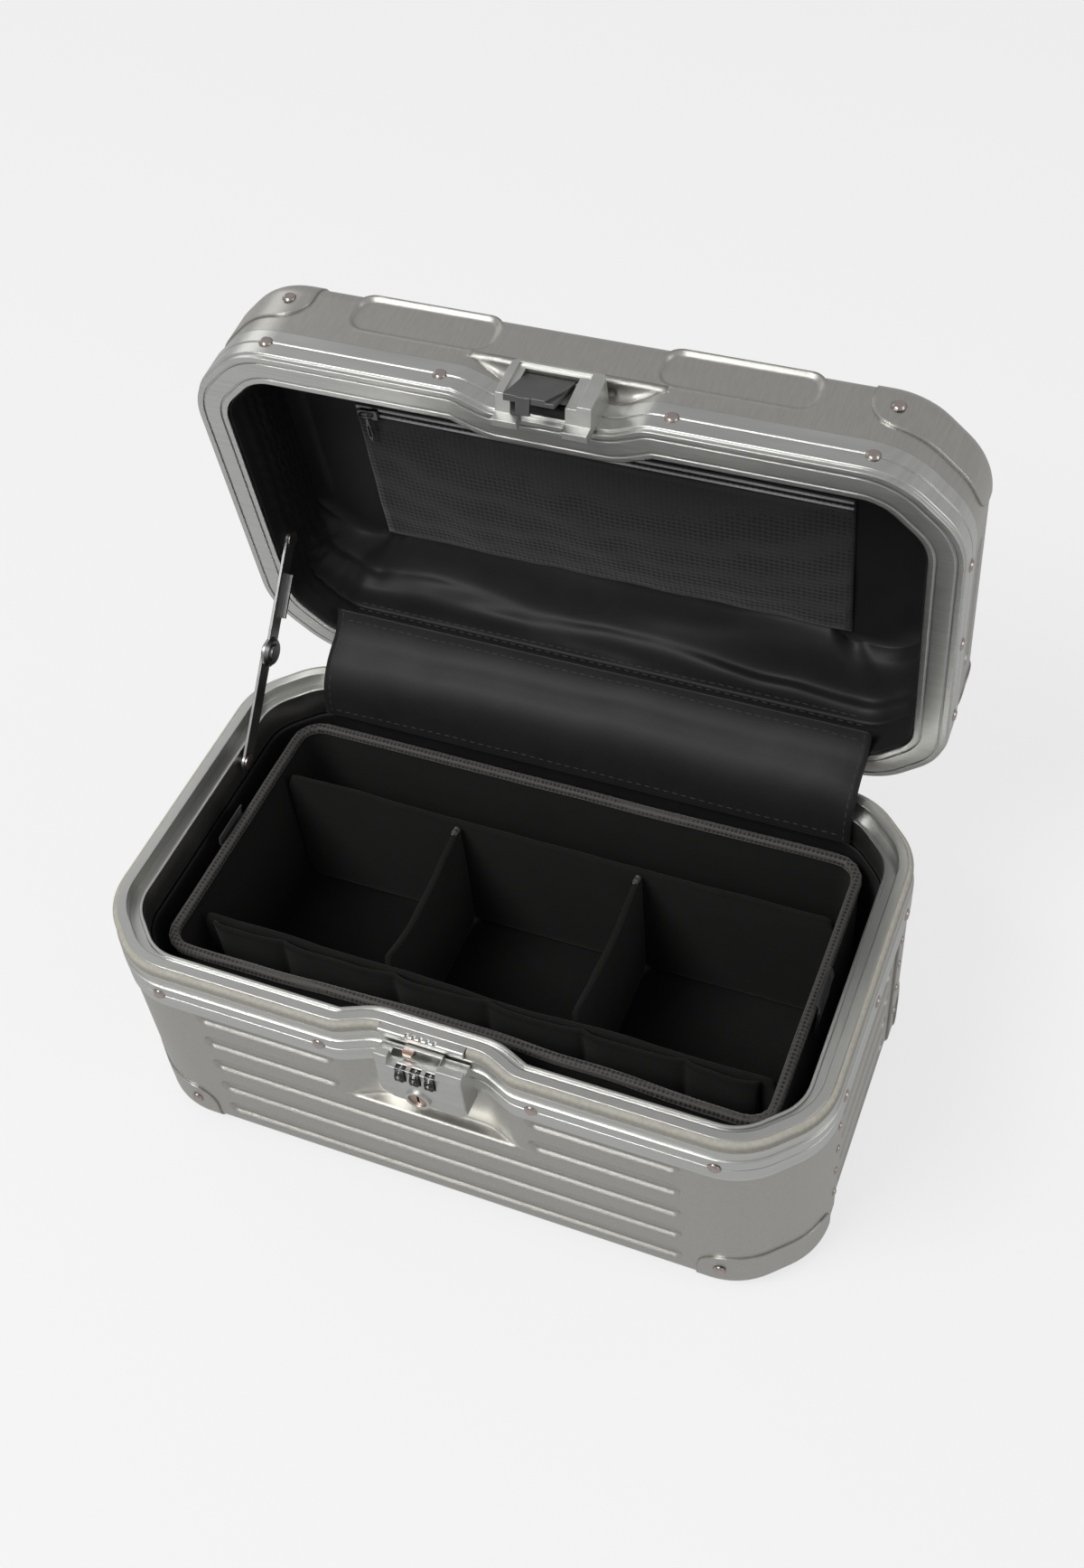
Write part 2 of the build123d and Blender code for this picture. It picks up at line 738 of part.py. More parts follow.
# Lock: housing with a window, axle, dials, key cylinder and bolt
seat_y = -half_d + jog_depth
lock_front = seat_y - lock_proud
skin_seat = seat_y + skin_inset
with BuildPart() as lock_housing:
    with BuildSketch(Plane.YZ):
        with BuildLine():
            Polyline(
                (skin_seat, lock_bottom),
                (lock_front + lock_bevel, lock_bottom),
                (lock_front, lock_bend),
                (lock_front, lock_top - lock_bevel),
                (lock_front + lock_bevel / 2, lock_top),
                (seat_y, lock_top),
                (seat_y, base_flange_bottom - fabric_gap),
                (skin_seat, base_flange_bottom - fabric_gap),
                close=True,
            )
        make_face()
    extrude(amount=lock_width / 2, both=True)
    with BuildSketch(Plane.XZ.offset(-skin_seat)):
        with BuildLine():
            foot_half = lock_foot_width / 2
            corner_level = lock_bottom + 2 * lock_corner
            Polyline(
                (-foot_half, lock_bottom),
                (foot_half, lock_bottom),
                (lock_width / 2, corner_level),
                (lock_width / 2, lock_top),
                (-lock_width / 2, lock_top),
                (-lock_width / 2, corner_level),
                close=True,
            )
        make_face()
    extrude(amount=2 * lock_proud, mode=Mode.INTERSECT)
    front_edges = lock_housing.edges().filter_by(Axis.Z).sort_by(Axis.Y)[:2]
    fillet(front_edges, lock_corner / 2)
    window_back = lock_front + window_depth
    window_sides = (window_x - window_width / 2, window_x + window_width / 2)
    add(block(window_sides, (lock_front - lock_proud, window_back), (window_floor, lock_top + 1)), mode=Mode.SUBTRACT)
    well = (window_back - window_well_depth, window_back)
    add(block(window_sides, well, (window_well, window_floor + 1)), mode=Mode.SUBTRACT)
    for side in (-1, 1):
        inner = foot_inner - foot_room if side > 0 else -latch_width / 2 - foot_room
        outer = latch_width / 2 + foot_room if side > 0 else -foot_inner + foot_room
        notch_y = (seat_y - foot_front - foot_room, seat_y + 1)
        add(block((inner, outer), notch_y, (rim_plane + foot_low - foot_room, lock_top + 1)), mode=Mode.SUBTRACT)
    axle_y = lock_front + dial_sink
    for i in (-1, 0, 1):
        middle = dial_x + i * dial_pitch
        start = middle - dial_width / 2 - dial_gap
        slot = rod((start, axle_y, dial_height), (1, 0, 0), dial_radius + dial_gap, dial_width + 2 * dial_gap)
        add(slot, mode=Mode.SUBTRACT)
    axle_half = dial_pitch + dial_width
    add(rod((dial_x - axle_half, axle_y, dial_height), (1, 0, 0), axle_radius, 2 * axle_half), mode=Mode.SUBTRACT)
    key_outer = key_radius + key_ring
    add(rod((key_x, lock_front + key_depth, key_height), (0, -1, 0), key_outer, key_depth + key_ring_rise))
    key_bore = key_radius + running_gap
    key_start = lock_front + key_depth
    add(rod((key_x, key_start, key_height), (0, -1, 0), key_bore, 2 * key_depth), mode=Mode.SUBTRACT)
save(lock_housing.part, "lock_housing")

save(rod((dial_x - axle_half, axle_y, dial_height), (1, 0, 0), axle_radius, 2 * axle_half), "dial_axle")

for i in (-1, 0, 1):
    middle = dial_x + i * dial_pitch
    with BuildPart() as dial:
        add(rod((middle - dial_width / 2, axle_y, dial_height), (1, 0, 0), dial_radius, dial_width))
        chamfer(dial.edges().filter_by(GeomType.CIRCLE), notch_radius)
        for k in range(notch_count):
            turn = 2 * math.pi * (k + 0.5) / notch_count
            spot = (middle - dial_width, axle_y + dial_radius * math.cos(turn), dial_height + dial_radius * math.sin(turn))
            add(rod(spot, (1, 0, 0), notch_radius, 2 * dial_width), mode=Mode.SUBTRACT)
        bore = rod((middle - dial_width, axle_y, dial_height), (1, 0, 0), axle_radius + running_gap, 2 * dial_width)
        add(bore, mode=Mode.SUBTRACT)
    save(dial.part, "dial_" + str(i + 2))

with BuildPart() as key_cylinder:
    add(rod((key_x, key_start, key_height), (0, -1, 0), key_radius, key_depth))
    slot_half = key_slot / 2
    slot_y = (lock_front - 1, lock_front + key_depth / 2)
    slot_span = key_radius * 0.6
    add(block((key_x - slot_half, key_x + slot_half), slot_y, (key_height - slot_span, key_height + slot_span)), mode=Mode.SUBTRACT)
save(key_cylinder.part, "key_cylinder")

bolt_sides = (bolt_x - bolt_width / 2, bolt_x + bolt_width / 2)
bolt_y = (window_back - bolt_reach, window_back - running_gap)
with BuildPart() as lock_bolt:
    add(block(bolt_sides, bolt_y, (lock_top - bolt_height, lock_top)))
    fillet(lock_bolt.edges().filter_by(Axis.Z).sort_by(Axis.Y)[:2], bolt_height / 2)
save(lock_bolt.part, "lock_bolt")

with BuildPart() as lock_striker:
    striker_back = seat_y + lip_outer_inset - running_gap
    striker_top = base_height - striker_rise
    striker_limits = (striker_x - striker_width / 2, striker_x + striker_width / 2)
    striker_y = (striker_back - striker_depth, striker_back)
    add(block(striker_limits, striker_y, (striker_top - striker_height, striker_top)))
    fillet(lock_striker.edges().filter_by(Axis.X).sort_by(Axis.Y)[:2], striker_height / 4)
    for k in range(tooth_count):
        middle = striker_x + (k - (tooth_count - 1) / 2) * tooth_pitch
        gap = (middle - tooth_pitch / 5, middle + tooth_pitch / 5)
        cut_y = (striker_y[0] - 1, striker_y[0] + striker_depth / 2)
        add(block(gap, cut_y, (striker_top - tooth_depth, striker_top + 1)), mode=Mode.SUBTRACT)
save(lock_striker.part, "lock_striker")

# Hinges: leaves on both rails with knuckles about one pin each
knuckle = (leaf_width - 2 * knuckle_gap) / 3
leaf_y = (half_d, half_d + leaf_thickness)
clear_low = hinge_height - knuckle_radius - knuckle_gap
clear_high = hinge_height + knuckle_radius + knuckle_gap
pin_bore = hinge_pin_radius + running_gap


def hinge_leaf(hinge_x, spans, low, high, pin_hole):
    """Leaf against the rail with its own knuckles; spans are the limits of the knuckles along X."""
    with BuildPart() as leaf:
        add(block((hinge_x - leaf_width / 2, hinge_x + leaf_width / 2), leaf_y, (low, high)))
        for x in spans:
            reach = tuple(sorted((hinge_height, low if low > hinge_height else high)))
            add(block(x, leaf_y, reach))
            add(rod((x[0], hinge_y, hinge_height), (1, 0, 0), knuckle_radius, x[1] - x[0]))
        add(rod((hinge_x - leaf_width, hinge_y, hinge_height), (1, 0, 0), pin_hole, 2 * leaf_width), mode=Mode.SUBTRACT)
    return leaf.part


leaf_half = leaf_width / 2
outer_spans = ((-leaf_half, -leaf_half + knuckle), (leaf_half - knuckle, leaf_half))
middle_span = ((-knuckle / 2, knuckle / 2),)
base_leaf_low = base_flange_bottom + floor_flange / 2
lid_leaf_high = rim_plane + lid_flange_top - floor_flange / 6
with BuildPart() as base_hinge_leaves:
    for hinge_x in (-hinge_spacing / 2, hinge_spacing / 2):
        spans = [(hinge_x + a, hinge_x + b) for a, b in outer_spans]
        add(hinge_leaf(hinge_x, spans, base_leaf_low, clear_low, hinge_pin_radius))
save(base_hinge_leaves.part, "base_hinge_leaves")

with BuildPart() as lid_hinge_leaves:
    for hinge_x in (-hinge_spacing / 2, hinge_spacing / 2):
        spans = [(hinge_x + a, hinge_x + b) for a, b in middle_span]
        add(hinge_leaf(hinge_x, spans, clear_high, lid_leaf_high, pin_bore))
save(opened(lid_hinge_leaves.part), "lid_hinge_leaves")

with BuildPart() as hinge_pins:
    for hinge_x in (-hinge_spacing / 2, hinge_spacing / 2):
        add(rod((hinge_x - leaf_half, hinge_y, hinge_height), (1, 0, 0), hinge_pin_radius, leaf_width))
save(hinge_pins.part, "hinge_pins")

# Folding stay at the left: studs, two arms and their rivets at the elbow
closed_point = Vector(0, stay_lid_y - hinge_y, stay_lid_z - hinge_height).rotate(Axis.X, -open_angle)
open_y = hinge_y + closed_point.Y
open_z = hinge_height + closed_point.Z
elbow_y = (stay_base_y + open_y) / 2
elbow_z = (stay_base_z + open_z) / 2
lower_x = -stay_x - arm_gap / 2 - arm_thickness
upper_x = -stay_x + arm_gap / 2
stud_bore = stud_radius + running_gap


def arm(x, start, end, start_radius, end_radius, flanged):
    """Flat arm in one layer from a bored eye to a closed end at the elbow."""
    span = math.hypot(end[0] - start[0], end[1] - start[1])
    tilt = math.atan2(end[1] - start[1], end[0] - start[0])
    layer = Plane(origin=(x, start[0], start[1]), x_dir=(0, math.cos(tilt), math.sin(tilt)), z_dir=(1, 0, 0))
    with BuildPart() as bar:
        with BuildSketch(layer):
            Circle(start_radius)
            with Locations((span, 0)):
                Circle(end_radius)
            with Locations((span / 2, 0)):
                Rectangle(span, arm_width)
        extrude(amount=arm_thickness)
        if flanged:
            with BuildSketch(layer):
                with Locations((span / 2, (arm_width - arm_thickness) / 2)):
                    Rectangle(span - 4 * arm_width, arm_thickness)
            extrude(amount=arm_thickness + arm_flange)
        with BuildSketch(layer):
            Circle(stud_bore)
        extrude(amount=arm_thickness, mode=Mode.SUBTRACT)
    return bar.part


eye_radius = arm_width / 2 + arm_gap
save(arm(lower_x, (stay_base_y, stay_base_z), (elbow_y, elbow_z), eye_radius, eye_radius, False), "stay_lower_arm")

with BuildPart() as stay_upper_arm:
    add(arm(upper_x, (open_y, open_z), (elbow_y, elbow_z), eye_radius, boss_radius, True))
    add(rivet((upper_x + arm_thickness, elbow_y, elbow_z), (1, 0, 0), boss_radius, boss_dome))
    add(rod((upper_x + arm_thickness, elbow_y, elbow_z), (1, 0, 0), stud_head_radius, boss_dome + stud_head))
save(stay_upper_arm.part, "stay_upper_arm")


def stud(x, y, z, end):
    """Shouldered stud from an inner flange through one arm, with a head over it."""
    with BuildPart() as pin:
        add(rod((x, y, z), (1, 0, 0), stud_radius, end - x))
        add(rod((end, y, z), (1, 0, 0), stud_head_radius, stud_head))
    return pin.part


base_wall = -half_w + rail_inner_inset
lid_wall = -half_w + lid_inner_inset
save(stud(base_wall, stay_base_y, stay_base_z, lower_x + arm_thickness + running_gap), "stay_base_stud")
save(stud(lid_wall, open_y, open_z, upper_x + arm_thickness + running_gap), "stay_lid_stud")

# Latch: housing with a stepped arch, its pin, lever with tongue, and buffer
latch_front = seat_y - latch_proud
lever_face = latch_front + lever_recess
lever_axis_y = lever_face + lever_thickness / 2
lever_sides = (lever_x - lever_width / 2, lever_x + lever_width / 2)
room = (lever_sides[0] - lever_gap, lever_sides[1] + lever_gap)
pivot_z = rim_plane + lever_pivot
room_top = pivot_z + lever_thickness / 2 + lever_gap
leg_low = rim_plane + foot_high
with BuildPart() as latch_housing:
    with BuildSketch(Plane.YZ):
        with BuildLine():
            Polyline(
                (seat_y, rim_plane + latch_top),
                (latch_front + latch_back, rim_plane + latch_top),
                (latch_front, rim_plane + latch_top - latch_back),
                (latch_front, rim_plane + latch_toe),
                (seat_y - foot_front, leg_low),
                (seat_y - foot_front, rim_plane + foot_low),
                (seat_y - foot_back, rim_plane + foot_low),
                (seat_y - foot_back, rim_plane + lid_flange_bottom),
                (seat_y, rim_plane + lid_flange_bottom),
                close=True,
            )
        make_face()
    extrude(amount=latch_width / 2, both=True)
    top_edges = latch_housing.edges().filter_by(Axis.Y).sort_by(Axis.Z)[-2:]
    fillet(top_edges, latch_radius - latch_back)
    opening_y = (latch_front - 1, seat_y - latch_back)
    feet_room = (-foot_inner, foot_inner)
    add(block(feet_room, (latch_front - 1, seat_y + 1), (rim_plane + 2 * foot_low, rim_plane)), mode=Mode.SUBTRACT)
    add(block(feet_room, opening_y, (rim_plane + 2 * foot_low, room_top)), mode=Mode.SUBTRACT)
    add(block(room, opening_y, (leg_low, room_top)), mode=Mode.SUBTRACT)
    step_y = (latch_front - 1, latch_front + latch_step_depth)
    step_sides = (room[0] - latch_step, room[1] + 2 * latch_step)
    add(block(step_sides, step_y, (rim_plane + 2 * foot_low, room_top + latch_step / 2)), mode=Mode.SUBTRACT)
    buffer_y = seat_y - latch_back - buffer_radius - lever_gap / 2
    pin_sides = (room[0] - latch_step / 2, room[1] + latch_step / 2)
    pin_span = pin_sides[1] - pin_sides[0]
    lever_hole = rod((pin_sides[0], lever_axis_y, pivot_z), (1, 0, 0), lever_pin_radius, pin_span)
    add(lever_hole, mode=Mode.SUBTRACT)
save(opened(latch_housing.part), "latch_housing")

save(opened(rod((pin_sides[0], lever_axis_y, pivot_z), (1, 0, 0), lever_pin_radius, pin_span)), "lever_pin")

buffer_z = rim_plane + buffer_height
buffer_span = room[1] - room[0]
save(opened(rod((room[0], buffer_y, buffer_z), (1, 0, 0), buffer_radius, buffer_span)), "latch_buffer")

lever_back = lever_face + lever_thickness
lever_end = rim_plane + lever_low
with BuildPart() as latch_lever:
    add(block(lever_sides, (lever_face, lever_back), (lever_end, pivot_z)))
    add(rod((lever_sides[0], lever_axis_y, pivot_z), (1, 0, 0), lever_thickness / 2, lever_width))
    tongue_sides = (tongue_x - tongue_width / 2, tongue_x + tongue_width / 2)
    add(block(tongue_sides, (lever_face, lever_back + tongue_reach), (lever_end - tongue_thickness / 2, lever_end + tongue_thickness / 2)))
    with BuildSketch(Plane.XZ.offset(-lever_face - lever_thickness / 3)):
        with BuildLine():
            Polyline(
                (lever_sides[1] + 1, pivot_z - lever_bevel),
                (lever_sides[1] - lever_bevel, lever_end - 1),
                (lever_sides[1] + 1, lever_end - 1),
                close=True,
            )
        make_face()
    extrude(amount=lever_thickness, mode=Mode.SUBTRACT)
    lever_bore = lever_pin_radius + running_gap
    bore = rod((lever_sides[0] - 1, lever_axis_y, pivot_z), (1, 0, 0), lever_bore, lever_width + 2)
    add(bore, mode=Mode.SUBTRACT)
lever_turned = latch_lever.part.rotate(Axis((0, lever_axis_y, pivot_z), (1, 0, 0)), -lever_open)
save(opened(lever_turned), "latch_lever")

# Carry handle on the top of the lid, folded flat to the rear
pivot_y = handle_pivot_y
handle_z = lid_top + handle_rise
grip_half = handle_thickness / 2
with BuildPart() as handle_grip:
    with BuildSketch(Plane.XY.offset(handle_z - grip_half)):
        with Locations((0, pivot_y + handle_depth / 2)):
            RectangleRounded(handle_length, handle_depth + grip_width, grip_width)
            inner_depth = handle_depth - grip_width
            RectangleRounded(handle_length - 2 * grip_width, inner_depth, grip_width / 2, mode=Mode.SUBTRACT)
        with Locations((0, pivot_y)):
            Rectangle(handle_length - 2 * grip_width, handle_depth, mode=Mode.SUBTRACT)
    extrude(amount=handle_thickness)
    rims = handle_grip.faces().filter_by(Axis.Z).edges()
    chamfer(rims, handle_edge)
    hole = rod((-handle_length, pivot_y, handle_z), (1, 0, 0), handle_pin_radius + running_gap, 2 * handle_length)
    add(hole, mode=Mode.SUBTRACT)
save(opened(handle_grip.part), "handle_grip")

mount_inner = handle_length / 2 + running_gap * 4
mount_top = handle_z + grip_half
with BuildPart() as handle_mounts:
    for side in (-1, 1):
        limits = tuple(sorted((side * mount_inner, side * (mount_inner + mount_width / 2))))
        add(block(limits, (pivot_y - mount_width / 2, pivot_y + mount_width / 2), (lid_top, mount_top)))
    fillet(handle_mounts.faces().sort_by(Axis.Z)[-1].edges().filter_by(Axis.X), handle_edge)
    pin_half = mount_inner + mount_width / 3
    hole = rod((-pin_half, pivot_y, handle_z), (1, 0, 0), handle_pin_radius, 2 * pin_half)
    add(hole, mode=Mode.SUBTRACT)
save(opened(handle_mounts.part), "handle_mounts")

with BuildPart() as handle_pins:
    for side in (-1, 1):
        near = side * (handle_length / 2 - grip_width / 2)
        start = min(near, side * pin_half)
        add(rod((start, pivot_y, handle_z), (1, 0, 0), handle_pin_radius, abs(side * pin_half - near)))
save(opened(handle_pins.part), "handle_pins")

# Mesh pocket on the inside of the lid with its zip, slider and pull
pocket_top = lid_lining_top - lining_thickness - fabric_gap
pocket_front = zip_y + zip_width / 2 + fabric_gap
with BuildPart() as lid_mesh_pocket:
    add(block((zip_left, zip_right), (pocket_front, pocket_front + pocket_depth), (pocket_top - pocket_thickness, pocket_top)))
save(opened(lid_mesh_pocket.part), "lid_mesh_pocket")

zip_low = pocket_top - zip_thickness
with BuildPart() as zip_track:
    add(block((zip_left, zip_right), (zip_y - zip_width / 2, zip_y + zip_width / 2), (zip_low, pocket_top)))
save(opened(zip_track.part), "zip_track")

slider_low = zip_low - running_gap - slider_height
with BuildPart() as zip_slider:
    slider_start = zip_left + zip_end_room
    slider_limits = (slider_start, slider_start + slider_length)
    add(block(slider_limits, (zip_y - slider_width / 2, zip_y + slider_width / 2), (slider_low, zip_low - running_gap)))
    pull_x = slider_limits[0] + slider_length / 2
    eye = slider_low - pull_thickness - running_gap
    pull_z = (eye, eye + pull_thickness)
    neck = (pull_x - pull_thickness / 2, pull_x + pull_thickness / 2)
    add(block(neck, (zip_y - pull_thickness / 2, zip_y + pull_thickness / 2), (eye, slider_low)))
    add(block((pull_x - slider_width / 4, pull_x + slider_width / 4), (zip_y, zip_y + pull_length), pull_z))
save(opened(zip_slider.part), "zip_slider")

# Fabric flap over the hinges, from the rear wall of the base up to the open lid
rear_wall = half_d - lining_inset - lining_thickness - flap_room
flap_points = [
    (rear_wall, flap_low),
    (rear_wall, rail_inner_top + fabric_gap),
    (flap_bend_y, flap_bend_z),
    (flap_high_y, flap_high),
]
with BuildPart() as hinge_flap:
    with BuildSketch(Plane.YZ):
        with BuildLine():
            front_side = [(y - flap_thickness, z) for y, z in flap_points]
            Polyline(*flap_points, *reversed(front_side), close=True)
        make_face()
    extrude(amount=flap_width / 2, both=True)
save(hinge_flap.part, "hinge_flap")
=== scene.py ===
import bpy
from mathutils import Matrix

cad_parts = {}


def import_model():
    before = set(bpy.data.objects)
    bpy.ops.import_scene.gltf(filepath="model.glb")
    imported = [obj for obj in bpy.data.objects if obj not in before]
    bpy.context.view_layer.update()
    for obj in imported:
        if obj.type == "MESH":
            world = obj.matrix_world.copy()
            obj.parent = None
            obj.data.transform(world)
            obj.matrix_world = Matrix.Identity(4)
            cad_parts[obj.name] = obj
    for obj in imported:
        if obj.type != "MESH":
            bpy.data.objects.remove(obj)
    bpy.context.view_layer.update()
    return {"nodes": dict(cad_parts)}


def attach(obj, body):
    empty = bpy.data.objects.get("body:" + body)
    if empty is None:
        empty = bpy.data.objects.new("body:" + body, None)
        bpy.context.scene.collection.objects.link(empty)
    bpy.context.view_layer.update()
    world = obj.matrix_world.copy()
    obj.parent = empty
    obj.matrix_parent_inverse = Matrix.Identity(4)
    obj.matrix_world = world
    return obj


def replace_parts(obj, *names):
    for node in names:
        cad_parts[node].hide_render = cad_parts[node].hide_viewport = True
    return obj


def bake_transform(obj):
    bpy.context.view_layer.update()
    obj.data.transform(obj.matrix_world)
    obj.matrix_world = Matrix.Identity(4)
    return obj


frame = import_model()

import math

import bmesh
import bpy
from mathutils import Matrix, Vector, noise

# Lengths are in millimetres up to build(), which makes metres of them
MM = 0.001
HALF_W, HALF_D = 180.0, 105.0
RIM = 132.0
HINGE = Vector((0.0, 108.5, 127.7))
REST_ANGLE = math.radians(-83.0)
OPEN = Matrix.Translation(HINGE) @ Matrix.Rotation(REST_ANGLE, 4, "X") @ Matrix.Translation(-HINGE)


def clamp(value, low=0.0, high=1.0):
    return max(low, min(high, value))


# Materials
BEVEL_SAMPLES = 6
SMOOTHER, ROUGHER = 0.05, 0.06
THREAD_DARK, THREAD_LIGHT = 0.7, 1.45
WEAVE_SHARE, BLOTCH_SHARE = 0.6, 0.4


def material(name, base, metallic=0.0, rough=0.5, sheen=0.0, spec=0.5):
    m = bpy.data.materials.new(name)
    m.use_nodes = True
    b = m.node_tree.nodes["Principled BSDF"]
    b.inputs["Base Color"].default_value = (*base, 1)
    b.inputs["Metallic"].default_value = metallic
    b.inputs["Roughness"].default_value = rough
    b.inputs["Sheen Weight"].default_value = sheen
    b.inputs["Specular IOR Level"].default_value = spec
    return m, m.node_tree.nodes, m.node_tree.links, b


def coords(nodes, links, scale=(1, 1, 1)):
    tc = nodes.new("ShaderNodeTexCoord")
    mp = nodes.new("ShaderNodeMapping")
    mp.inputs["Scale"].default_value = scale
    links.new(tc.outputs["Object"], mp.inputs["Vector"])
    return mp.outputs["Vector"]


def noise_node(nodes, links, vector, scale, detail):
    n = nodes.new("ShaderNodeTexNoise")
    n.inputs["Scale"].default_value = scale
    n.inputs["Detail"].default_value = detail
    links.new(vector, n.inputs["Vector"])
    return n.outputs["Fac"]


def ramp(nodes, links, fac, low, high, pos=(0.3, 0.7)):
    r = nodes.new("ShaderNodeValToRGB")
    r.color_ramp.elements[0].position, r.color_ramp.elements[1].position = pos
    r.color_ramp.elements[0].color = (*low, 1)
    r.color_ramp.elements[1].color = (*high, 1)
    links.new(fac, r.inputs["Fac"])
    return r.outputs["Color"]


def spread(nodes, links, fac, low, high):
    r = nodes.new("ShaderNodeMapRange")
    r.inputs["To Min"].default_value = low
    r.inputs["To Max"].default_value = high
    links.new(fac, r.inputs["Value"])
    return r.outputs["Result"]


def bump(nodes, links, height, strength, distance, shader, after=None):
    b = nodes.new("ShaderNodeBump")
    b.inputs["Strength"].default_value = strength
    b.inputs["Distance"].default_value = distance
    links.new(height, b.inputs["Height"])
    if after is not None:
        links.new(after, b.inputs["Normal"])
    links.new(b.outputs["Normal"], shader.inputs["Normal"])


def metal(name, base, rough, streak, depth, variation, round_edge, metallic=1.0):
    """Satin metal with a fine grain; edges catch the light as softly rounded ones."""
    m, n, l, b = material(name, base, metallic, rough)
    edge = n.new("ShaderNodeBevel")
    edge.samples = BEVEL_SAMPLES
    edge.inputs["Radius"].default_value = round_edge
    f = noise_node(n, l, coords(n, l, streak), 1.0, 3.0)
    low = tuple(c * (1 - variation) for c in base)
    high = tuple(min(1, c * (1 + variation)) for c in base)
    l.new(ramp(n, l, f, low, high), b.inputs["Base Color"])
    l.new(spread(n, l, f, rough - SMOOTHER, rough + ROUGHER), b.inputs["Roughness"])
    bump(n, l, f, 0.25, depth, b, edge.outputs["Normal"])
    return m


def cloth(name, base, rough, weave, sheen, depth):
    """Woven or brushed cloth: a fine weave over broad, faint blotches, with a soft sheen."""
    m, n, l, b = material(name, base, 0.0, rough, sheen, 0.25)
    b.inputs["Sheen Roughness"].default_value = 0.5
    b.inputs["Sheen Tint"].default_value = (0.5, 0.48, 0.46, 1)
    v = coords(n, l)
    big = noise_node(n, l, v, 60.0, 3.0)
    fine = noise_node(n, l, v, weave, 2.0)
    low = tuple(c * THREAD_DARK for c in base)
    high = tuple(c * THREAD_LIGHT for c in base)
    mix = n.new("ShaderNodeMath")
    mix.operation = "MULTIPLY_ADD"
    l.new(fine, mix.inputs[0])
    mix.inputs[1].default_value = WEAVE_SHARE
    l.new(spread(n, l, big, 0.0, BLOTCH_SHARE), mix.inputs[2])
    l.new(ramp(n, l, mix.outputs[0], low, high), b.inputs["Base Color"])
    bump(n, l, fine, 0.6, depth, b)
    return m


def moulded(name, base, rough, grain, detail, strength, depth, tones=None, roughs=None):
    """Plastic, rubber or print with a fine grain, which may also vary its colour or roughness."""
    m, n, l, b = material(name, base, 0.0, rough)
    f = noise_node(n, l, coords(n, l), grain, detail)
    if tones:
        l.new(ramp(n, l, f, *tones), b.inputs["Base Color"])
    if roughs:
        l.new(spread(n, l, f, *roughs), b.inputs["Roughness"])
    bump(n, l, f, strength, depth, b)
    return m


def net(name, base, holes, pitch):
    """Woven net: threads with darker round gaps between them, in the piece's own coordinates."""
    m, n, l, b = material(name, base, 0.0, 0.6, 0.4, 0.4)
    b.inputs["Sheen Tint"].default_value = (0.6, 0.6, 0.6, 1)
    vo = n.new("ShaderNodeTexVoronoi")
    vo.inputs["Scale"].default_value = 1.0 / pitch
    vo.inputs["Randomness"].default_value = 0.12
    l.new(coords(n, l), vo.inputs["Vector"])
    low = tuple(c * holes for c in base)
    l.new(ramp(n, l, vo.outputs["Distance"], low, base, (0.30, 0.46)), b.inputs["Base Color"])
    bump(n, l, vo.outputs["Distance"], 0.8, 0.0006, b)
    return m


ALU = metal("aluminium_sheet", (0.50, 0.492, 0.462), 0.34, (900, 25, 900), 0.00002, 0.05, 0.0024, 0.94)
RAIL = metal("aluminium_rail", (0.64, 0.64, 0.62), 0.31, (15, 15, 900), 0.00002, 0.06, 0.0007)
RIVET = metal("rivet_chrome", (0.50, 0.44, 0.41), 0.20, (200, 200, 200), 0.00001, 0.08, 0.0008)
ZINC = metal("zinc_casting", (0.62, 0.62, 0.60), 0.40, (90, 90, 260), 0.00002, 0.05, 0.0005)
STEEL = metal("stay_steel", (0.34, 0.345, 0.34), 0.34, (40, 400, 40), 0.00002, 0.06, 0.0004)
COPPER = metal("copper_brass", (0.48, 0.36, 0.30), 0.30, (90, 90, 90), 0.00002, 0.06, 0.0003)
DARK = metal("dark_metal", (0.17, 0.17, 0.17), 0.38, (200, 200, 200), 0.00001, 0.05, 0.0004)
FLEECE = cloth("fleece", (0.0062, 0.0058, 0.0054), 0.95, 1600.0, 0.10, 0.0004)
SATIN = cloth("satin", (0.0110, 0.0107, 0.0113), 0.50, 2600.0, 0.08, 0.00008)
TAPE = cloth("zip_tape_cloth", (0.03, 0.03, 0.032), 0.7, 2400.0, 0.3, 0.0002)
WOVEN = cloth("zip_edge_weave", (0.66, 0.65, 0.66), 0.6, 1800.0, 0.3, 0.0002)
THREAD = cloth("thread", (0.045, 0.044, 0.046), 0.7, 3000.0, 0.2, 0.0001)
PALE = moulded("pale_plastic", (0.62, 0.61, 0.58), 0.42, 900.0, 2.0, 0.2, 0.00005)
SEAL = moulded("seal_rubber", (0.40, 0.385, 0.335), 0.6, 500.0, 3.0, 0.3, 0.0001,
               tones=((0.36, 0.345, 0.30), (0.44, 0.425, 0.37)))
BLACK = moulded("black_plastic", (0.014, 0.014, 0.014), 0.38, 700.0, 3.0, 0.25, 0.00008, roughs=(0.3, 0.5))
RUBBER = moulded("black_rubber", (0.010, 0.010, 0.010), 0.6, 300.0, 3.0, 0.3, 0.0001)
WHITE = moulded("print_white", (0.75, 0.75, 0.73), 0.5, 2000.0, 2.0, 0.1, 0.00002)
NET = net("pocket_net", (0.026, 0.025, 0.027), 0.06, 0.0026)
PIPING = net("piping_net", (0.060, 0.056, 0.050), 0.10, 0.0022)

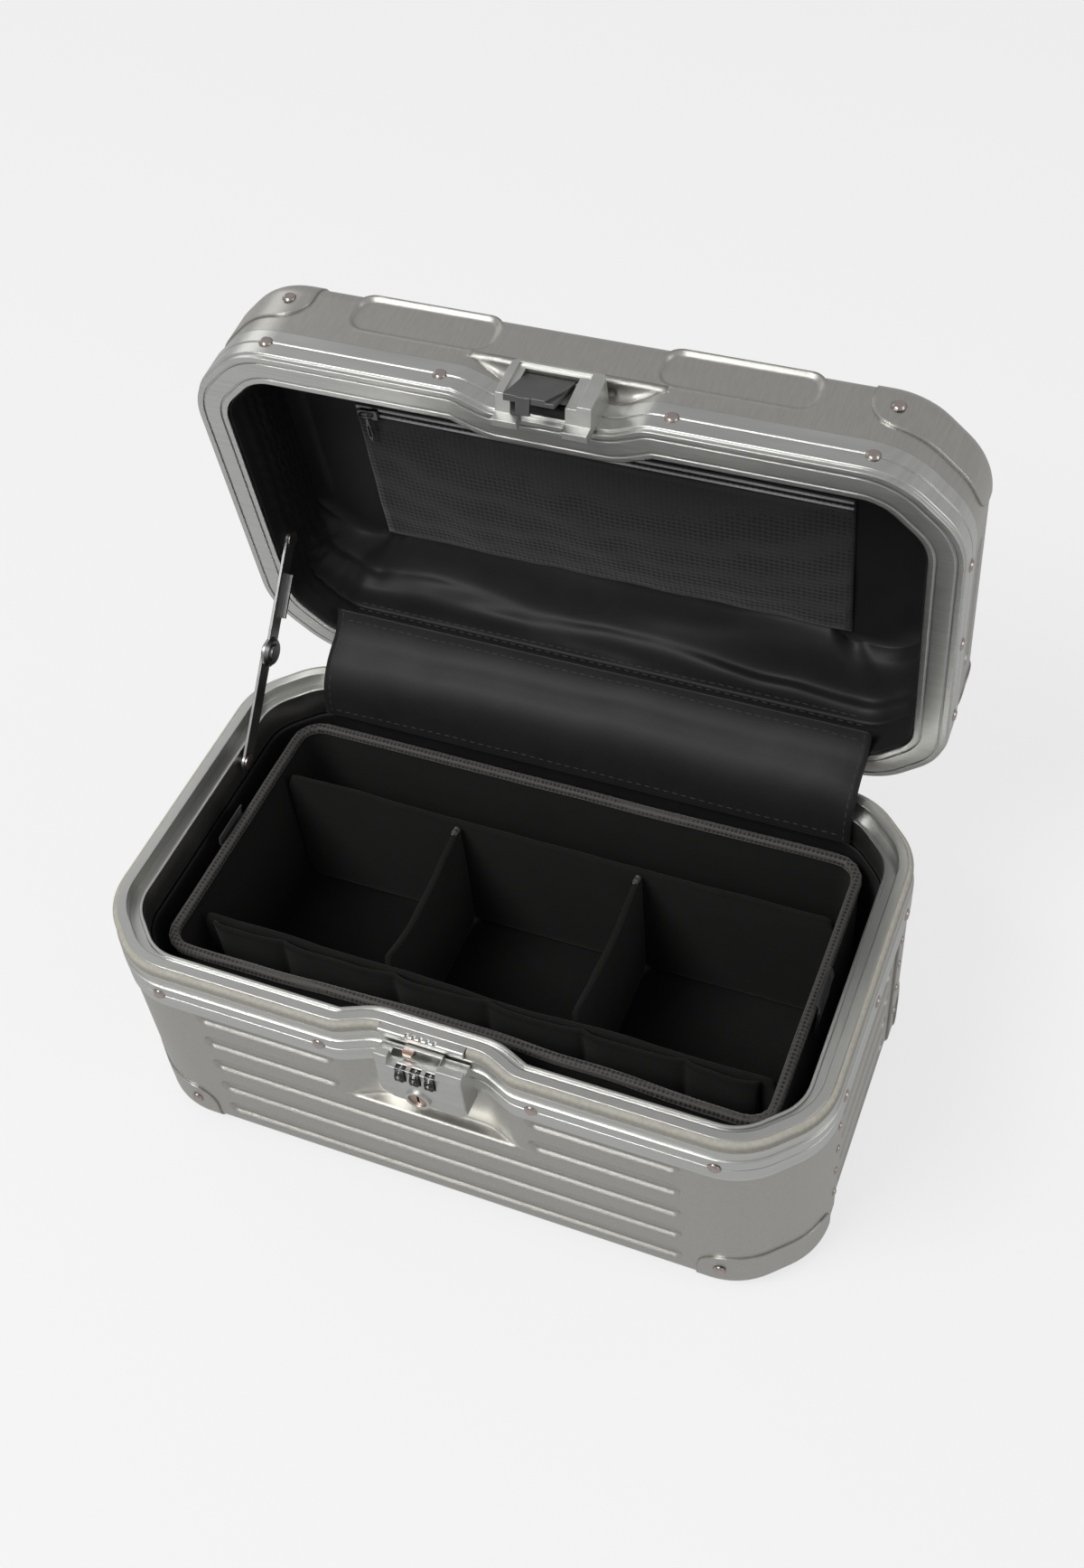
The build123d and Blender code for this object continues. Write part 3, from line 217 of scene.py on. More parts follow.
for node, mat in {
    "base_front_shell": ALU, "base_rear_shell": ALU, "base_left_panel": ALU, "base_right_panel": ALU,
    "base_bottom_panel": ALU, "lid_shell": ALU, "base_frame": RAIL, "lid_frame": RAIL,
    "base_corner_guards": ALU, "lid_corner_guards": ALU, "base_rivets": RIVET, "lid_rivets": RIVET,
    "lock_housing": ZINC, "latch_housing": ZINC, "latch_lever": DARK, "handle_mounts": ZINC,
    "base_hinge_leaves": STEEL, "lid_hinge_leaves": STEEL, "hinge_pins": STEEL, "stay_base_stud": RIVET,
    "stay_lid_stud": RIVET, "stay_lower_arm": STEEL, "stay_upper_arm": STEEL, "lever_pin": STEEL,
    "dial_axle": PALE, "handle_pins": STEEL, "lock_striker": ZINC, "key_cylinder": COPPER,
    "lock_bolt": COPPER, "dial_1": BLACK, "dial_2": BLACK, "dial_3": BLACK, "handle_grip": BLACK,
    "latch_buffer": RUBBER, "feet": RUBBER, "base_seal": SEAL,
}.items():
    o = frame["nodes"][node]
    for s in o.material_slots:
        s.material = mat
    if not o.material_slots:
        o.data.materials.append(mat)


# Mesh helpers: points are in the rest pose's frame, or in the closed lid's frame where lid is true
def build(name, verts, faces, mat, body, lid=False, smooth=True, subsurf=0, solid=0.0, bevel=0.0):
    me = bpy.data.meshes.new(name)
    pts = [(OPEN @ Vector(v)) * MM if lid else Vector(v) * MM for v in verts]
    me.from_pydata(pts, [], faces)
    me.validate()
    me.update()
    o = bpy.data.objects.new(name, me)
    bpy.context.collection.objects.link(o)
    me.materials.append(mat)
    bm = bmesh.new()
    bm.from_mesh(me)
    bmesh.ops.remove_doubles(bm, verts=bm.verts, dist=1e-6)
    bmesh.ops.recalc_face_normals(bm, faces=bm.faces)
    bm.to_mesh(me)
    bm.free()
    for p in me.polygons:
        p.use_smooth = smooth
    if solid:
        md = o.modifiers.new("solid", "SOLIDIFY")
        md.thickness = solid * MM
        md.offset = 0
    if bevel:
        md = o.modifiers.new("bevel", "BEVEL")
        md.width = bevel * MM
        md.segments = 3
        md.limit_method = "ANGLE"
    if subsurf:
        md = o.modifiers.new("sub", "SUBSURF")
        md.levels = md.render_levels = subsurf
    apply(o)
    if body:
        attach(o, body)
    return o


def apply(o):
    if not o.modifiers:
        return
    dg = bpy.context.evaluated_depsgraph_get()
    dg.update()
    me = bpy.data.meshes.new_from_object(o.evaluated_get(dg))
    old = o.data
    o.modifiers.clear()
    o.data = me
    bpy.data.meshes.remove(old)


def strips(rows, n, closed=True, wrap=False, start=0):
    """Faces between rows of n points; closed joins each row's ends, and wrap the last row to the first."""
    faces = []
    for j in range(rows if wrap else rows - 1):
        a, c = start + j * n, start + (j + 1) % rows * n
        for i in range(n if closed else n - 1):
            k = (i + 1) % n
            faces.append((a + i, a + k, c + k, c + i))
    return faces


def end_caps(rows, n):
    """Flat ends of a bar that is made of rows of n points."""
    return [tuple(range(n))[::-1], tuple((rows - 1) * n + k for k in range(n))]


def fan(row, n, middle):
    """Triangles from one closed row of n points to a point in its middle."""
    return [(row * n + i, row * n + (i + 1) % n, middle) for i in range(n)]


def grid(name, fn, nu, nv, mat, body, lid=False, solid=1.0):
    """Sheet through the points fn(u, v), with a thickness."""
    verts = [fn(i / (nu - 1), j / (nv - 1)) for j in range(nv) for i in range(nu)]
    return build(name, verts, strips(nv, nu, closed=False), mat, body, lid, solid=solid)


def tube(name, pts, radius, mat, body, lid=False, sides=10, closed=False):
    """Round bar swept along points."""
    p = [Vector(q) for q in pts]
    n = len(p)
    verts = []
    up = Vector((0, 0, 1))
    for i in range(n):
        a = p[(i - 1) % n] if closed or i else p[i]
        c = p[(i + 1) % n] if closed or i < n - 1 else p[i]
        t = (c - a).normalized()
        s = t.cross(up)
        if s.length < 1e-3:
            s = t.cross(Vector((1, 0, 0)))
        s.normalize()
        w = s.cross(t)
        for k in range(sides):
            ang = 2 * math.pi * k / sides
            verts.append(tuple(p[i] + s * math.cos(ang) * radius + w * math.sin(ang) * radius))
    faces = strips(n, sides, wrap=closed)
    if not closed:
        faces += end_caps(n, sides)
    return build(name, verts, faces, mat, body, lid)


STITCH, STITCH_GAP, THREAD_R, STITCH_SIDES = 3.0, 1.6, 0.28, 5
STITCH_STEP = 0.8
STITCH_FORM = ((0.0, 0.4), (0.3, 1.0), (0.7, 1.0), (1.0, 0.4))


def stitches(name, lines, mat, body, lid=False):
    """Rows of short thread stitches along lists of points, as one piece."""
    verts, faces, ends = [], [], []
    for line in lines:
        p = [Vector(q) for q in line]
        total = sum((c - a).length for a, c in zip(p, p[1:]))
        spots = resample(p, max(3, int(total / STITCH_STEP)), closed=False)
        step, hold = round((STITCH + STITCH_GAP) / STITCH_STEP), round(STITCH / STITCH_STEP)
        ends += [(spots[i], spots[i + hold]) for i in range(1, len(spots) - hold, step)]
    for a, c in ends:
        d = (c - a).normalized()
        side = d.cross(Vector((0.3, 0.5, 0.81))).normalized()
        top = side.cross(d)
        faces += strips(len(STITCH_FORM), STITCH_SIDES, start=len(verts))
        for along, r in STITCH_FORM:
            q = c if along == 1.0 else a + (c - a) * along
            for k in range(STITCH_SIDES):
                ang = 2 * math.pi * k / STITCH_SIDES
                cos, sin = math.cos(ang), math.sin(ang)
                verts.append(tuple(q + side * cos * THREAD_R * r + top * sin * THREAD_R * r))
    return build(name, verts, faces, mat, body, lid)


# Plan of the case, and points along lines
CORNER_CUT, CORNER_R, CORNER_STEPS = 30.0, 38.0, 6
CASE_CORE = (110.0, 40.0)


def plan(inset):
    """Plan of the case as points at an inset: an octagon with blended corners."""
    leg = CORNER_CUT - inset * (2 - math.sqrt(2))
    w, d = HALF_W - inset, HALF_D - inset
    c = [(-w + leg, -d), (w - leg, -d), (w, -d + leg), (w, d - leg),
         (w - leg, d), (-w + leg, d), (-w, d - leg), (-w, -d + leg)]
    r = max(CORNER_R - inset, 1.0)
    t = r * math.tan(math.pi / 8)
    out = []
    for i, q in enumerate(c):
        q = Vector(q)
        a = (Vector(c[i - 1]) - q).normalized()
        e = (Vector(c[(i + 1) % 8]) - q).normalized()
        p0, p2 = q + a * t, q + e * t
        for k in range(CORNER_STEPS + 1):
            u = k / CORNER_STEPS
            out.append(p0 * (1 - u) ** 2 + q * 2 * u * (1 - u) + p2 * u * u)
    return out


def jog(x):
    """How far the wall at the front stands back near the lock, at one place along it."""
    t = clamp((46.0 - abs(x)) / 22.0)
    return 7.0 * t * t * (3 - 2 * t)


def jogged(points):
    return [Vector((q.x, q.y + (jog(q.x) if q.y < 0 else 0.0))) for q in points]


def outward(p, core):
    """Direction to a point of a plan from the plan's core, a rectangle given by its half sizes."""
    d = p - Vector((clamp(p.x, -core[0], core[0]), clamp(p.y, -core[1], core[1])))
    return d.normalized() if d.length > 1e-6 else Vector((0, 1))


def resample(points, count, closed=True):
    """Points at equal steps along a line."""
    p = [Vector(q) for q in points] + ([Vector(points[0])] if closed else [])
    lens = [0.0]
    for a, c in zip(p, p[1:]):
        lens.append(lens[-1] + (c - a).length)
    out = []
    for i in range(count):
        s = lens[-1] * i / (count if closed else count - 1)
        j = 0
        while j < len(lens) - 2 and lens[j + 1] < s:
            j += 1
        span = lens[j + 1] - lens[j]
        out.append(p[j] + (p[j + 1] - p[j]) * ((s - lens[j]) / span if span else 0))
    return out


def wobble(x, y, z, scale, seed):
    return noise.noise(Vector((x * scale + seed, y * scale - seed, z * scale + 2 * seed)))


# Organiser: padded walls and dividers with net piping
TRAY_FLOOR = 20.0
TRAY_HALF = (153.6, 79.6)
TRAY_CORNER = 13.6
TRAY_CORE = (139.0, 66.0)
TRAY_WALL = 3.6


def round_box(hx, hy, r):
    """Rectangle with round corners, as points."""
    out = []
    steps = 5
    corners = ((hx - r, -hy + r, -90), (hx - r, hy - r, 0), (-hx + r, hy - r, 90), (-hx + r, -hy + r, 180))
    for cx, cy, start in corners:
        for k in range(steps + 1):
            ang = math.radians(start + 90 * k / steps)
            out.append((cx + r * math.cos(ang), cy + r * math.sin(ang)))
    return out


def organiser_tray():
    """Open box with wavy walls, its rounded rim and floor, and the piping around the rim."""
    outer = resample(round_box(*TRAY_HALF, TRAY_CORNER), 160)
    for p in outer:
        bow = max(0.0, (-p.y - 50.0) / 30.0)
        p.y += bow * (4.6 + 1.6 * math.cos(p.x * 0.02) + 0.8 * wobble(p.x, 0, 0, 0.03, 8.0))
    levels = [TRAY_FLOOR - 3, 34, 48, 62, 76, 90, 100, 105]
    rows = [(0.4, z) for z in levels] + [(1.0, 107.4), (2.0, 108.0), (3.0, 107.4)]
    rows += [(TRAY_WALL, z) for z in reversed(levels)]
    verts = []
    for inset, z in rows:
        v = max(0.0, (z - TRAY_FLOOR) / 88.0)
        for p in outer:
            w = wobble(p.x, p.y, z, 0.018, 3.0) * 1.4 * v
            q = p - outward(p, TRAY_CORE) * (inset + max(w, -0.3))
            verts.append((q.x, q.y, z + wobble(p.x, p.y, 1, 0.02, 9.0) * v))
    verts.append((0, 0, TRAY_FLOOR))
    n = len(outer)
    faces = strips(len(rows), n) + fan(len(rows) - 1, n, len(verts) - 1)
    o = build("organiser_tray", verts, faces, FLEECE, "base")
    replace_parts(o, "organiser_box")
    rim = []
    for p in outer:
        q = p - outward(p, TRAY_CORE) * 1.6
        rim.append((q.x, q.y, 107.2 + wobble(p.x, p.y, 1, 0.02, 9.0)))
    pipe = tube("organiser_piping", rim, 2.7, PIPING, "base", sides=12, closed=True)


def pad_wall(name, a, c, top, thick, bulge, sag, seed, nu=26):
    """Upright padded panel between two plan points, with a rounded top, slight waves and pulled in ends."""
    a, c = Vector((*a, 0)), Vector((*c, 0))
    d = (c - a)
    side = Vector((-d.y, d.x, 0)).normalized()
    low, nv, top_steps = TRAY_FLOOR + 0.4, 12, 5
    ring = [(-1, low + (top - low) * k / (nv - 1)) for k in range(nv)]
    for k in range(top_steps):
        ang = math.pi - math.pi * (k + 1) / (top_steps + 1)
        ring.append((math.cos(ang), top + math.sin(ang) * thick / 2))
    ring += [(1, top - (top - low) * k / (nv - 1)) for k in range(nv)]
    verts = []
    m = len(ring)
    for i in range(nu):
        u = i / (nu - 1)
        pull = math.sin(math.pi * u) ** 0.35 if 0 < u < 1 else 0.55
        p = a + d * u
        for s, z in ring:
            v = (z - low) / (top - low)
            w = wobble(p.x, p.y, z, 0.022, seed) * 1.6 + wobble(p.x, p.y, z, 0.07, seed + 5) * 0.5
            t = thick / 2 * (0.62 + 0.38 * pull) + bulge * pull * math.sin(math.pi * min(v, 1)) * 0.5
            dip = -sag * math.sin(math.pi * u) * max(v, 0)
            q = p + side * (s * t + w * max(0.15, min(v, 1)))
            verts.append((q.x, q.y, z + dip + wobble(p.x, p.y, 7, 0.03, seed) * 0.8 * max(v, 0)))
    o = build(name, verts, strips(nu, m) + end_caps(nu, m), FLEECE, "base", subsurf=1)
    return o


def dividers():
    """Long divider, front partition, and the two cross dividers with their bindings."""
    half, cross_x = 149.4, 49.0
    d = pad_wall("long_divider_pad", (-half, 46.0), (half, 46.0), 101.0, 3.8, 0.8, 1.5, 2.0, 44)
    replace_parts(d, "long_divider")
    d = pad_wall("front_partition_pad", (-half, -47.0), (half, -47.0), 98.6, 3.8, 0.8, 3.0, 4.0, 44)
    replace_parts(d, "front_partition")
    for side, tag in ((-1, "left"), (1, "right")):
        x = side * cross_x
        d = pad_wall("cross_divider_pad_" + tag, (x, -44.4), (x, 43.6), 99.0, 4.2, 1.2, 6.0, 6.0 + side)
        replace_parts(d, "cross_divider_" + tag)
        line = [(x, 38 + 4 * k / 3, 100.6 - 0.4 * k) for k in range(4)]
        pipe = tube("divider_binding_" + tag, line, 1.6, PIPING, "base")


# Gathered pocket band on the front partition: its seams along x, and points along its length
SEAMS = [-140.0, -102.0, -42.0, 7.0, 55.0, 105.0, 140.0]
BAND_POINTS = 169
BAND_LOW, BAND_TALL, BAND_Y = 40, 59.0, -50.2


def pocket_fn(u, v):
    x = SEAMS[0] + (SEAMS[-1] - SEAMS[0]) * u
    k = max(i for i in range(len(SEAMS) - 1) if SEAMS[i] <= x + 1e-6)
    t = (x - SEAMS[k]) / (SEAMS[k + 1] - SEAMS[k])
    puff = (1 - abs(2 * t - 1) ** 5) * (0.75 + 0.25 * math.sin(math.pi * t))
    y = BAND_Y - (3.2 + 4.6 * (1 - v)) * puff
    z = BAND_LOW + (BAND_TALL + 1.8 * puff) * v
    return (x, y + wobble(x, y, z, 0.05, 2.0) * 0.9, z)


def pocket_band():
    p = grid("pocket_band", pocket_fn, BAND_POINTS, 18, FLEECE, "base", solid=1.6)
    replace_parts(p, "pocket_strip")
    edge = [pocket_fn(i / (BAND_POINTS - 1), 1.0) for i in range(BAND_POINTS)]
    hem = tube("pocket_hem", edge, 1.0, FLEECE, "base", sides=8)


def loop_point(side, u, v):
    """Point of a lifting loop: up the end wall, over its rim and down outside it."""
    a = math.pi * v
    x = side * (154.6 + 1.2 * math.sin(a))
    z = 90 + 24 * math.sin(a * 0.5)
    return (x + side * (0.7 if v > 0.5 else -0.2) * (1 - abs(2 * v - 1)), -11 + 22 * u, z)


def lifting_loops():
    for side, tag in ((-1, "left"), (1, "right")):
        lp = grid("lifting_loop_" + tag, lambda u, v: loop_point(side, u, v), 5, 22, TAPE, "base",
                  solid=0.9)
        if side > 0:
            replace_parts(lp, "organiser_loops")


organiser_tray()
dividers()
pocket_band()
lifting_loops()

# Lining of the lid: a loose satin bag, gathered at its rear; heights are above the rim
BAG_INSET, BAG_POINTS, BAG_ROWS, BAG_CEILING_STEPS = 16.6, 260, 36, 12
BAG_LOW, BAG_TALL = 1.4, 43.6
FOLD_HEIGHT = 19.0


def bag_point(p, zl):
    """Point of the bag's wall over one place of the plan, at one height above the rim."""
    d = outward(p, CASE_CORE)
    rear = clamp((p.y - 40) / 40.0)
    left = clamp((-p.x - 130) / 30.0)
    mid = math.sin(math.pi * clamp((zl - BAG_LOW) / BAG_TALL))
    long_fold = noise.noise(Vector((p.x * 0.013 + 1.0, zl * 0.15, 2.0))) * 4.4
    fold = long_fold + noise.noise(Vector((p.x * 0.045, zl * 0.08, p.y * 0.045 + 4.0))) * 2.0
    slack = max(0.0, zl - FOLD_HEIGHT) / 26.0
    ridge = math.sin(slack * 8.0 + noise.noise(Vector((p.x * 0.010, 6.0, 0.0))) * 3.4 + 0.012 * p.x)
    inward = mid * (1.2 + (1 - rear) * abs(fold) * 0.5)
    inward += rear * (slack ** 1.25 * 34.0 + min(1.0, slack * 4) * (2.6 * ridge + fold * 0.75))
    inward -= rear * 0.9 * math.exp(-((zl - FOLD_HEIGHT) / 1.4) ** 2)
    inward += left * mid * 2.4 * (0.5 + 0.5 * math.sin(p.y * 1.05 + zl * 0.35))
    q = p - d * inward
    return (q.x, q.y + (jog(q.x) * (1 - 0.6 * slack) if q.y < 0 else 0.0), RIM + zl)


def lid_bag():
    """The bag's wall, then its ceiling in rows that close on the middle, and its rows of stitches."""
    pts = resample(plan(BAG_INSET), BAG_POINTS)
    verts = []
    for k in range(BAG_ROWS):
        for p in pts:
            verts.append(bag_point(p, BAG_LOW + BAG_TALL * k / (BAG_ROWS - 1)))
    top_row = verts[-BAG_POINTS:]
    for s in range(1, BAG_CEILING_STEPS + 1):
        f = 1 - s / BAG_CEILING_STEPS
        for c in top_row:
            x, y = c[0] * f, c[1] * f
            z = RIM + 45.6 + 0.6 * (1 - f) + wobble(x, y, 3, 0.03, 7.0) * 2.4 * (1 - f)
            verts.append((x, y, min(z, RIM + 46.2)))
    faces = strips(BAG_ROWS + BAG_CEILING_STEPS, BAG_POINTS)
    o = build("lid_bag", verts, faces, SATIN, "lid", lid=True, solid=0.6)
    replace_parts(o, "lid_lining")
    rear = sorted((p for p in pts if p.y > 84.0 and abs(p.x) < 140.0), key=lambda p: p.x)
    proud = Vector((0, -0.5, 0))
    lines = [[Vector(bag_point(p, zl)) + proud for p in rear] for zl in (8.0, 17.2, 20.6)]
    thread = stitches("lid_bag_stitches", lines, THREAD, "lid", lid=True)


lid_bag()

# Flap over the hinges: one sheet from the lid's lining down over the rear rim into the base.
# FLAP is its section, as (y, z) from the lid down
FLAP = [(116.6, 160.0), (113.4, 154.6), (108.6, 149.6), (102.6, 145.6), (96.6, 141.2),
        (91.6, 135.2), (88.4, 128.0), (86.6, 120.0), (85.6, 112.0)]
FLAP_HALF = 143


def spline(p, f):
    """Catmull-Rom curve through four numbers, between the second and the third."""
    return 0.5 * (2 * p[1] + (p[2] - p[0]) * f + (2 * p[0] - 5 * p[1] + 4 * p[2] - p[3]) * f * f
                  + (3 * p[1] - p[0] - 3 * p[2] + p[3]) * f ** 3)


def flap_at(u, v):
    s = v * (len(FLAP) - 1)
    i = min(int(s), len(FLAP) - 2)
    p = [FLAP[clamp(i + k, 0, len(FLAP) - 1)] for k in (-1, 0, 1, 2)]
    y, z = (spline([q[axis] for q in p], s - i) for axis in (0, 1))
    x = -FLAP_HALF + 2 * FLAP_HALF * u
    free = math.sin(math.pi * v) ** 0.8
    wave = wobble(x, v * 40, 0, 0.016, 11.0) * 2.6 + wobble(x, v * 40, 0, 0.05, 12.0) * 0.9
    edge = max(0.0, abs(2 * u - 1) - 0.94) / 0.06
    return (x + 1.2 * wobble(v * 50, 0, x * 0.01, 0.05, 3.0),
            y + free * wave * 0.6 - 0.8 * edge * free,
            z + free * (wave - 1.6 * edge))


def flap_line(pairs):
    """Line just above the flap, through places on it."""
    return [Vector(flap_at(u, v)) + Vector((0, -0.35, 0.45)) for u, v in pairs]


flap = grid("hinge_flap_cloth", flap_at, 110, 44, SATIN, None, solid=1.0)
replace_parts(flap, "hinge_flap")
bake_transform(flap)

hems = [flap_line([(u, 0.02 + 0.96 * k / 30) for k in range(31)]) for u in (0.012, 0.988)]
hems += [flap_line([(0.02 + 0.96 * k / 60, v) for k in range(61)]) for v in (0.10, 0.93)]
thread = stitches("hinge_flap_stitches", hems, THREAD, None)
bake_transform(thread)

# Cloth and padding in the base, and padding in the lid
TUB_POINTS = 220
LINING_TOP, LINING_LOW = 104.0, 16.0
CLOTH_LEVELS = [108.2, 106.0, 100.0, 90.0, 78.0, 64.0, 50.0, 36.0, 24.0, 16.0, 15.2]


def tub(name, insets, levels, mat, lid=False, wave=0.0):
    """Open vessel that follows the plan: a closed line of points for each inset and level, then a floor."""
    verts = []
    for inset, z in zip(insets, levels):
        for q in resample(jogged(plan(inset)), TUB_POINTS):
            d = outward(q, CASE_CORE)
            rear = clamp((q.y - 60.0) / 20.0)
            w = 0.0
            if LINING_LOW < z < LINING_TOP:
                w = wave * (1 - rear) * (0.6 + wobble(q.x, q.y, z * 0.4, 0.035, 5.0))
            verts.append((q.x - d.x * w, q.y - d.y * w, z))
    verts.append((0, 0, levels[-1]))
    faces = strips(len(levels), TUB_POINTS) + fan(len(levels) - 1, TUB_POINTS, len(verts) - 1)
    return build(name, verts, faces, mat, "lid" if lid else "base", lid=lid, solid=0.7 if wave else 0.0)


def closed_tub(name, outer, inner, low, floor_level, top, lid=False):
    """Padded vessel with thickness: up the outside, over the rounded edge, down the inside to the floor."""
    step = 1 if top > low else -1
    mid = (outer + inner) / 2
    form = [(outer + 4.0, low), (outer + 1.0, low + 1.2 * step), (outer, low + 5.0 * step),
            (outer, top - 1.5 * step), (outer + 0.6, top - 0.4 * step), (mid, top),
            (inner - 0.6, top - 0.4 * step), (inner, top - 1.5 * step), (inner, floor_level + 3.0 * step),
            (inner + 2.0, floor_level)]
    o = tub(name, [inset for inset, z in form], [z for inset, z in form], FLEECE, lid)
    me = o.data
    bm = bmesh.new()
    bm.from_mesh(me)
    bmesh.ops.holes_fill(bm, edges=[e for e in bm.edges if e.is_boundary], sides=0)
    bmesh.ops.recalc_face_normals(bm, faces=bm.faces)
    bm.to_mesh(me)
    bm.free()
    return o


base_cloth = tub("base_lining_cloth", [15.3] * 10 + [18.0], CLOTH_LEVELS, SATIN, wave=1.6)
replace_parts(base_cloth, "base_lining")

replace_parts(closed_tub("base_pad", 8.4, 14.2, 9.4, 13.8, 108.2), "base_padding")
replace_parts(closed_tub("lid_pad", 9.6, 13.6, 184.4, 180.2, 136.8, lid=True), "lid_padding")

# Ceiling of the latch's seat in the lid's front
SEAT_HALF, SEAT_FRONT, SEAT_TOP = 45.0, -104.0, RIM + 24.6


def seat_cove(u, v):
    """From the seat's wall over the corner, along the ceiling and round the shell's lower edge."""
    x = -SEAT_HALF + 2 * SEAT_HALF * u
    deep = jog(x)
    r = min(deep, 2.6 if abs(x) < 23.0 else 5.5)
    start = SEAT_FRONT + deep + 0.5 - r
    ceiling = SEAT_TOP - 0.1
    if v < 0.6:
        a = math.pi / 2 * (v / 0.6)
        return (x, start + r * math.cos(a), ceiling - r + r * math.sin(a))
    t = (v - 0.6) / 0.4
    if t < 0.5:
        return (x, start + (SEAT_FRONT - start) * t * 2, ceiling)
    f = (t - 0.5) * 2
    lip = 0.35 * math.sin(math.pi * min(1.0, f * 1.1)) * min(1.0, deep / 2)
    return (x, SEAT_FRONT - lip + 0.3 * f, ceiling + 3.2 * f)


cove = grid("latch_seat_cove", seat_cove, 91, 26, ALU, "lid", lid=True, solid=0.7)

# Net pocket, zip, slider and pull on the lid's ceiling
ZL, ZR, ZY = -124.0, 122.0, -36.0
NET_Z, CEIL = RIM + 44.6, RIM + 44.9


def net_fn(u, v):
    x = ZL + (ZR - ZL) * u
    y = ZY + 4.0 + 84.0 * v
    sag = math.sin(math.pi * u) ** 0.6 * math.sin(math.pi * v) ** 0.7
    return (x, y, NET_Z - 3.2 * sag - 0.8 * wobble(x, y, 0, 0.05, 3.0))


pocket = grid("net_pocket", net_fn, 60, 26, NET, "lid", lid=True, solid=0.8)
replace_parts(pocket, "lid_mesh_pocket")


def tape_fn(u, v):
    wave = 0.25 * wobble(400 * u, 0, 0, 0.05, 5.0)
    return (ZL + (ZR - ZL) * u, ZY + 3.5 - 7.0 * v, CEIL - 0.5 - wave)


def zip_track():
    """Woven tape, its two pale woven edges, and the coil between them."""
    tape = grid("zip_tape", tape_fn, 80, 5, TAPE, "lid", lid=True, solid=0.7)
    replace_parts(tape, "zip_track")
    for side, tag in ((-1, "low"), (1, "high")):
        line = [(ZL + 1 + i * 4.07, ZY + side * 1.9, CEIL - 1.2) for i in range(61)]
        cord = tube("zip_edge_" + tag, line, 0.7, WOVEN, "lid", lid=True, sides=8)
    turns = []
    for i in range(61 * 8):
        a = i * math.pi / 3
        turns.append((ZL + 1 + i * 0.5, ZY + 0.85 * math.cos(a), CEIL - 1.25 + 0.35 * math.sin(a)))
    coil = tube("zip_coil", turns, 0.26, BLACK, "lid", lid=True, sides=5)


SLIDER_START, SLIDER_END = ZL + 2.0, ZL + 13.0
SLIDER_TOP, SLIDER_LOW = CEIL - 1.5, CEIL - 3.9
PULL_POINTS = 20


def zip_slider():
    """Wedge of the slider, with its bridge."""
    x0, x1, low = SLIDER_START, SLIDER_END, SLIDER_LOW
    half = [(x0, 1.5), (x0 + 1.5, 2.3), (x0 + 6, 2.4), (x0 + 8.5, 3.0), (x1 - 0.6, 3.0), (x1, 2.2)]
    ring = [(x, ZY + w) for x, w in half] + [(x, ZY - w) for x, w in reversed(half)]
    n = len(ring)
    verts = [(x, y, z) for z in (low, SLIDER_TOP) for x, y in ring]
    faces = end_caps(2, n) + strips(2, n)
    body = build("zip_slider_body", verts, faces, DARK, "slider", lid=True, smooth=False, bevel=0.4)
    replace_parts(body, "zip_slider")
    line = [(x0 + 1.5, ZY, low + 0.2), (x0 + 2.0, ZY, low - 1.1), (x0 + 4.5, ZY, low - 1.6),
            (x0 + 7.5, ZY, low - 1.5), (x0 + 8.5, ZY, low + 0.2)]
    bridge = tube("zip_slider_bridge", line, 0.6, DARK, "slider", lid=True, sides=8)


def zip_pull():
    """Flat tab with a slot, hanging from the slider's bridge."""
    px, n = SLIDER_START + 5.5, PULL_POINTS
    tab, slot = [], []
    for k in range(n):
        a = 2 * math.pi * k / n
        wide = 1.0 if math.sin(a) > 0 else 0.8
        tab.append((px + 1.5 * math.cos(a) * wide, ZY + 8.3 + 8.0 * math.sin(a) + 0.4 * abs(math.cos(a))))
        slot.append((px + 0.7 * math.cos(a), ZY + 10.0 + 4.2 * math.sin(a)))
    verts = [(x, y, z) for z in (SLIDER_LOW - 1.25, SLIDER_LOW - 0.35) for x, y in tab + slot]
    faces = []
    for k in range(n):
        j = (k + 1) % n
        faces += [(k, j, n + j, n + k), (2 * n + j, 2 * n + k, 3 * n + k, 3 * n + j),
                  (k, 2 * n + k, 2 * n + j, j), (n + j, 3 * n + j, 3 * n + k, n + k)]
    pull = build("zip_pull", verts, faces, DARK, "slider", lid=True, smooth=False)


zip_track()
zip_slider()
zip_pull()

# White numbers on the three dials
DIAL_X, DIAL_Y, DIAL_Z, DIAL_PITCH, DIAL_R = -1.0, -107.9, 116.8, 7.3, 4.4
DIGIT_SIZE, DIGIT_LIFT, DIGIT_TURN = 2.6, 0.05, 0.35


def digit_mesh(text):
    cu = bpy.data.curves.new("digit", "FONT")
    cu.body = text
    cu.size = DIGIT_SIZE
    cu.align_x, cu.align_y = "CENTER", "CENTER"
    cu.resolution_u = 3
    ob = bpy.data.objects.new("digit", cu)
    bpy.context.collection.objects.link(ob)
    bpy.context.view_layer.update()
    me = bpy.data.meshes.new_from_object(ob)
    bpy.data.objects.remove(ob)
    bpy.data.curves.remove(cu)
    return me


